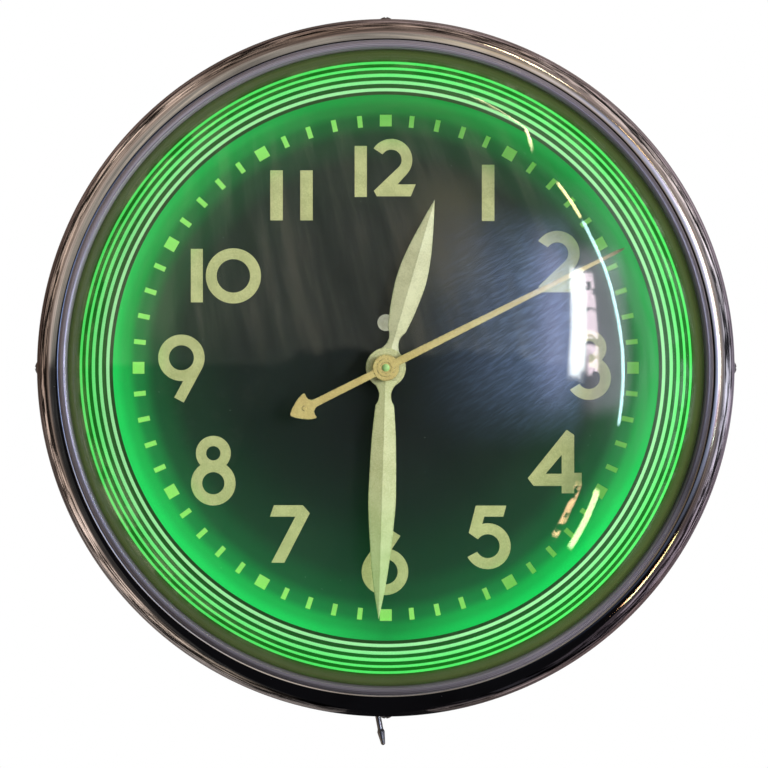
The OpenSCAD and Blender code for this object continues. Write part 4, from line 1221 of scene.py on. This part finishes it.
ROOM_AHEAD: Stops = (
    (0.0, "#ABA096"), (0.1, "#948A7E"), (0.17, "#4A453C"), (0.2, "#08080A"), (0.3, "#121217"),
    (0.36, "#4A4750"), (0.44, "#7B7882"), (0.5, "#C9CBD6"), (0.57, "#BEC0CC"), (0.63, "#8C8792"),
    (0.72, "#A08C82"), (0.8, "#7C6E64"), (0.9, "#A3968B"), (1.0, "#ABA096"),
)
ROOM_BESIDE: Stops = (
    (0.0, "#5E5046"), (0.08, "#A8988C"), (0.16, "#6B6258"), (0.21, "#040405"), (0.33, "#1A191C"),
    (0.42, "#6E646C"), (0.5, "#8F919C"), (0.6, "#A09692"), (0.7, "#76685F"), (0.78, "#4E4138"),
    (0.88, "#8F8073"), (1.0, "#5E5046"),
)
ROOM_BEHIND: Stops = (
    (0.0, "#43362F"), (0.15, "#77706B"), (0.25, "#4C4846"), (0.38, "#5C4E4E"), (0.5, "#7B7480"),
    (0.65, "#837573"), (0.78, "#4A3F3A"), (0.9, "#5E4F48"), (1.0, "#43362F"),
)
CLOTH: Stops = ((0.0, "#615F59"), (0.5, "#8B877D"), (1.0, "#C0B5A3"))
CLUTTER: Stops = (
    (0.0, "#0B0B0D"), (0.52, "#17181A"), (0.6, "#3A3B3B"), (1.0, "#55544F"),
)


def shine(g: Graph, base: Socket, mask: Socket, tint: str, power: float) -> Socket:
    """Adds light of a tint where mask is 1.

    Args:
        g: The graph.
        base: The colour so far.
        mask: Where the light is.
        tint: Its colour.
        power: How many times brighter than its tint it is.

    Returns:
        The colour with the light.
    """
    inputs = {0: [value * power for value in paint(tint)[:3]], "Scale": mask}
    light = g.node("ShaderNodeVectorMath", inputs, operation="SCALE")
    return g.mix(1.0, base, light.outputs[0], "ADD")


@dataclass
class Room:
    """The shop that the chrome and the glass mirror, painted in the world. The camera sees plain white.

    Each point of the world has a turn round the line that the clock faces along, 0 to 1 from the left by the
    bottom, and a tilt from it, 0 straight ahead of the clock and 1 straight behind it. Ahead of the clock it
    also has a place, u across and v up.
    """

    power: float = 1.3
    u: Socket | None = None
    v: Socket | None = None
    turn: Socket | None = None
    tilt: Socket | None = None

    def build(self) -> None:
        """Paints the world."""
        world = bpy.data.worlds.new("shop")
        bpy.context.scene.world = world
        world.use_nodes = True
        g = Graph(world.node_tree)
        x, y, z = g.parts(g.node("ShaderNodeTexCoord").outputs["Generated"])
        facing = g.mul(y, -1.0)
        self.turn = g.mad(g.maths("ARCTAN2", z, x), 1 / math.tau, 0.5)
        self.tilt = g.div(g.maths("ARCCOSINE", facing), math.pi)
        ahead = g.maths("MAXIMUM", facing, 0.05)
        self.u, self.v = g.div(x, ahead), g.div(z, ahead)
        colour = self.windows(g, self.drapes(g, self.walls(g, x, z)))
        tree = world.node_tree.nodes
        g.fill(tree["Background"], {"Color": colour, "Strength": self.power})
        plain = g.node("ShaderNodeBackground", ((1, 1, 1, 1),)).outputs[0]
        camera = g.node("ShaderNodeLightPath").outputs["Is Camera Ray"]
        g.feed(tree["World Output"].inputs[0], g.blend(camera, tree["Background"].outputs[0], plain))

    def walls(self, g: Graph, x: Socket, z: Socket) -> Socket:
        """The room's broad light and dark areas, broken up by thin streaks and ragged edges."""
        ahead, beside, behind = (g.ramp(self.turn, stops) for stops in (ROOM_AHEAD, ROOM_BESIDE, ROOM_BEHIND))
        colour = g.mix(g.fade(self.tilt, 0.22, 0.34), ahead, beside)
        colour = g.mix(g.fade(self.tilt, 0.52, 0.66), colour, behind)

        def stretched(across: float, along: float, detail: float, rough: float) -> Socket:
            """Noise drawn out round the line that the clock faces along."""
            where = g.vector(g.mul(x, across), g.mul(self.tilt, along), g.mul(z, across))
            return g.noise(where, 1.0, detail, rough)

        def scaled(base: Socket, amount: Socket, share: Socket) -> Socket:
            """Makes a colour amount times as bright, as far as share says."""
            level = g.mad(g.sub(amount, 1.0), share, 1.0)
            return g.mix(1.0, base, g.vector(level, level, level), "MULTIPLY")

        streaks = g.mad(g.fade(stretched(2.2, 46.0, 5.0, 0.62), 0.36, 0.66), 1.9, 0.12)
        colour = scaled(colour, streaks, g.fade(self.tilt, 0.12, 0.5, 0.35, 1.0))
        ragged = g.fade(stretched(8.0, 13.0, 6.0, 0.7), 0.47, 0.54, 0.06, 2.1)
        return scaled(colour, ragged, g.band(self.tilt, 0.35, 0.68, 0.04))

    def box(self, g: Graph, across: Point, up: Point, soft: float, soft_up: float | None = None) -> Socket:
        """A soft-edged upright area ahead of the clock."""
        return g.mul(g.band(self.u, *across, soft), g.band(self.v, *up, soft if soft_up is None else soft_up))

    def drapes(self, g: Graph, colour: Socket) -> Socket:
        """Adds the grey hangings ahead of the clock and the dark ground low before it."""
        u, v = self.u, self.v
        folds = g.noise(g.vector(g.mad(v, 0.25, u), 0.0, g.mul(v, 0.12)), 13.0, 4.0, 0.6)
        cloth = g.ramp(g.fade(folds, 0.34, 0.7), CLOTH)
        colour = g.mix(g.mul(self.box(g, (-0.75, 0.55), (-0.1, 0.9), 0.2, 0.14), 0.9), colour, cloth)
        colour = g.mix(g.mul(self.box(g, (-0.9, -0.2), (-0.3, 0.1), 0.15, 0.1), 0.8), colour, "#5C5D57")
        colour = g.mix(g.mul(self.box(g, (0.1, 0.3), (0.25, 0.62), 0.07, 0.1), 0.8), colour, "#D8C8A8")
        low = g.mul(g.fade(v, 0.03, 0.0), g.band(u, -1.3, 0.75, 0.2))
        clutter = g.ramp(g.noise(g.vector(g.mul(u, 0.7), v), 16.0, 5.0, 0.7), CLUTTER)
        colour = g.mix(g.mul(low, 0.93), colour, clutter)
        out = g.maths("MAXIMUM", g.sub(g.apart(u, 0.08), 0.3), 0.0)
        bumps = g.mul(g.sub(g.noise(g.vector(u, v), 7.0), 0.5), 0.1)
        top = g.add(g.mad(g.mul(out, out), -5.0, 0.045), bumps)
        return g.mix(g.fade(g.sub(v, top), 0.02, -0.012, 0.0, 0.97), colour, "#0A0A0C")

    def windows(self, g: Graph, colour: Socket) -> Socket:
        """Adds the bright window to the right, its haze and bars, and the long bright edges round it."""
        u, v = self.u, self.v
        haze = g.mul(g.fade(u, 0.05, 0.58), g.band(v, -0.12, 0.42, 0.16))
        haze = g.mul(haze, g.fade(u, 0.68, 0.6))
        grain = g.vector(g.mul(g.mad(v, 0.6, u), 14.0), g.mul(g.mad(u, -0.6, v), 95.0))
        # Streaks in the window's haze, painted in the room's light; the glass shows them as fine lines in its
        # reflection.
        haze_streaks = g.fade(g.noise(grain, 1.0, 3.0), 0.4, 0.66, 0.78, 1.5)
        colour = shine(g, colour, g.mul(haze, haze_streaks), "#7B90BC", 3.9)
        uneven = g.mad(g.noise(g.vector(u, v), 26.0, 4.0), 0.09, v)
        pane = g.mul(g.band(g.mad(v, -0.08, u), 0.592, 0.652, 0.014), g.band(uneven, 0.03, 0.375, 0.03))
        colour = shine(g, colour, pane, "#FFFFFF", 14.0)
        colour = shine(g, colour, self.box(g, (0.5, 0.6), (-0.08, 0.42), 0.09, 0.14), "#A9A6DC", 3.2)
        colour = shine(g, colour, self.box(g, (0.66, 0.86), (-0.14, 0.42), 0.05), "#B9A9C4", 2.6)
        bars = g.fade(g.noise(g.vector(g.mul(u, 0.6), v), 28.0, 4.0), 0.4, 0.5)
        bars = g.mul(self.box(g, (0.664, 0.715), (-0.02, 0.33), 0.01), bars)
        colour = shine(g, colour, bars, "#F4DCE8", 8.0)
        return self.edges(g, colour)

    def edges(self, g: Graph, colour: Socket) -> Socket:
        """Adds the long bright edges: a curved one down the right, and short ones above and below it."""
        degrees = g.mad(self.turn, 360.0, -180.0)

        def edge(middle: Socket, outer: float, inner: float) -> Socket:
            """A line whose tilt is middle, sharp within inner of it and gone past outer."""
            return g.fade(g.apart(self.tilt, middle), outer, inner)

        def stretch(line: Socket, start: float, end: float, soft: float = 0.8) -> Socket:
            """The part of a line between two angles in degrees."""
            return g.mul(line, g.band(degrees, start, end, soft))

        curve = g.mad(g.maths("POWER", g.apart(degrees, 4.0), 2.0), 0.0000083, 0.2214)
        line = edge(curve, 0.0018, 0.0009)
        colour = shine(g, colour, stretch(line, -13.5, 36.5), "#BFE6F0", 17.0)
        colour = shine(g, colour, stretch(line, 38.0, 47.0), "#FFE9A8", 22.0)
        low = edge(g.mad(degrees, -0.0009, 0.2012), 0.0035, 0.0022)
        colour = shine(g, colour, stretch(low, -44.0, -30.0), "#E9F5B8", 14.0)
        patches = g.fade(g.noise(g.vector(self.u, self.v), 22.0), 0.42, 0.55)
        warm = g.mul(edge(g.mad(degrees, -0.0009, 0.1815), 0.004, 0.002), patches)
        colour = shine(g, colour, stretch(warm, -45.0, -31.0, 1.2), "#FFC79A", 10.0)
        high = edge(g.mad(degrees, 0.00463, -0.013), 0.003, 0.0015)
        return shine(g, colour, stretch(high, 57.0, 72.0, 1.5), "#FFF0C0", 22.0)


@dataclass
class Studio:
    """The camera, the pale floor, the soft lamps and the room."""

    distance: float = 4.0
    lens: float = 250.8
    aim: Point = (-0.0013, -0.0118)
    floor_z: float = -0.366
    floor_r: float = 0.8

    def camera(self) -> None:
        """Makes the camera, square on to the dial."""
        data = bpy.data.cameras.new("camera")
        data.lens, data.sensor_width = self.lens, 36.0
        data.clip_start, data.clip_end = 0.05, 50.0
        made = self.stand("camera", data, (self.aim[0], -self.distance, self.aim[1]))
        made.rotation_euler = (math.pi / 2, 0, 0)
        bpy.context.scene.camera = made

    def floor(self) -> None:
        """Lays a plain pale round floor under the clock, which does not show in its gloss."""
        build = bmesh.new()
        bmesh.ops.create_circle(build, cap_ends=True, segments=96, radius=self.floor_r)
        mesh = bpy.data.meshes.new("floor")
        build.to_mesh(mesh)
        build.free()
        material, g, shader = new_surface("pale_floor")
        g.fill(shader, {"Base Color": (0.86, 0.86, 0.85, 1), "Roughness": 0.7})
        mesh.materials.append(material)
        made = self.stand("floor", mesh, (0, 0, self.floor_z))
        made.visible_glossy = made.visible_transmission = False

    def lamp(self, name: str, spot: Vec, size: float, power: float, colour: str) -> None:
        """Adds a soft square lamp that faces the clock and does not show in its gloss."""
        data = bpy.data.lights.new(name, "AREA")
        data.size, data.energy = size, power
        data.color = paint(colour)[:3]
        made = self.stand(name, data, spot)
        made.rotation_euler = (-Vector(spot)).to_track_quat("-Z", "Y").to_euler()
        made.visible_glossy = made.visible_transmission = False

    @staticmethod
    def stand(name: str, data: bpy.types.ID, spot: Vec) -> bpy.types.Object:
        """Puts something into the scene at a spot."""
        made = bpy.data.objects.new(name, data)
        made.location = spot
        bpy.context.scene.collection.objects.link(made)
        return made

    def build(self) -> None:
        """Sets the floor, lamps and room."""
        self.floor()
        Room().build()
        self.lamp("window_side", (2.5, -1.8, 0.6), 1.0, 112.0, "#FFF8F0")
        self.lamp("fill", (-1.0, -2.6, 1.7), 1.4, 14.0, "#FFF1E2")
        self.lamp("behind", (0.6, 1.9, 1.3), 1.4, 46.0, "#FFFFFF")
        bpy.context.scene.view_settings.view_transform = "Standard"


def main() -> None:
    """Builds the studio and then the clock, from the outside in."""
    logging.basicConfig(level=logging.INFO, format="%(name)s: %(message)s")
    studio = Studio()
    studio.camera()
    Case().build()
    DomeGlass().build()
    Dial().build()
    Hands().build()
    Works().build()
    studio.build()


if __name__ == "__main__":
    main()
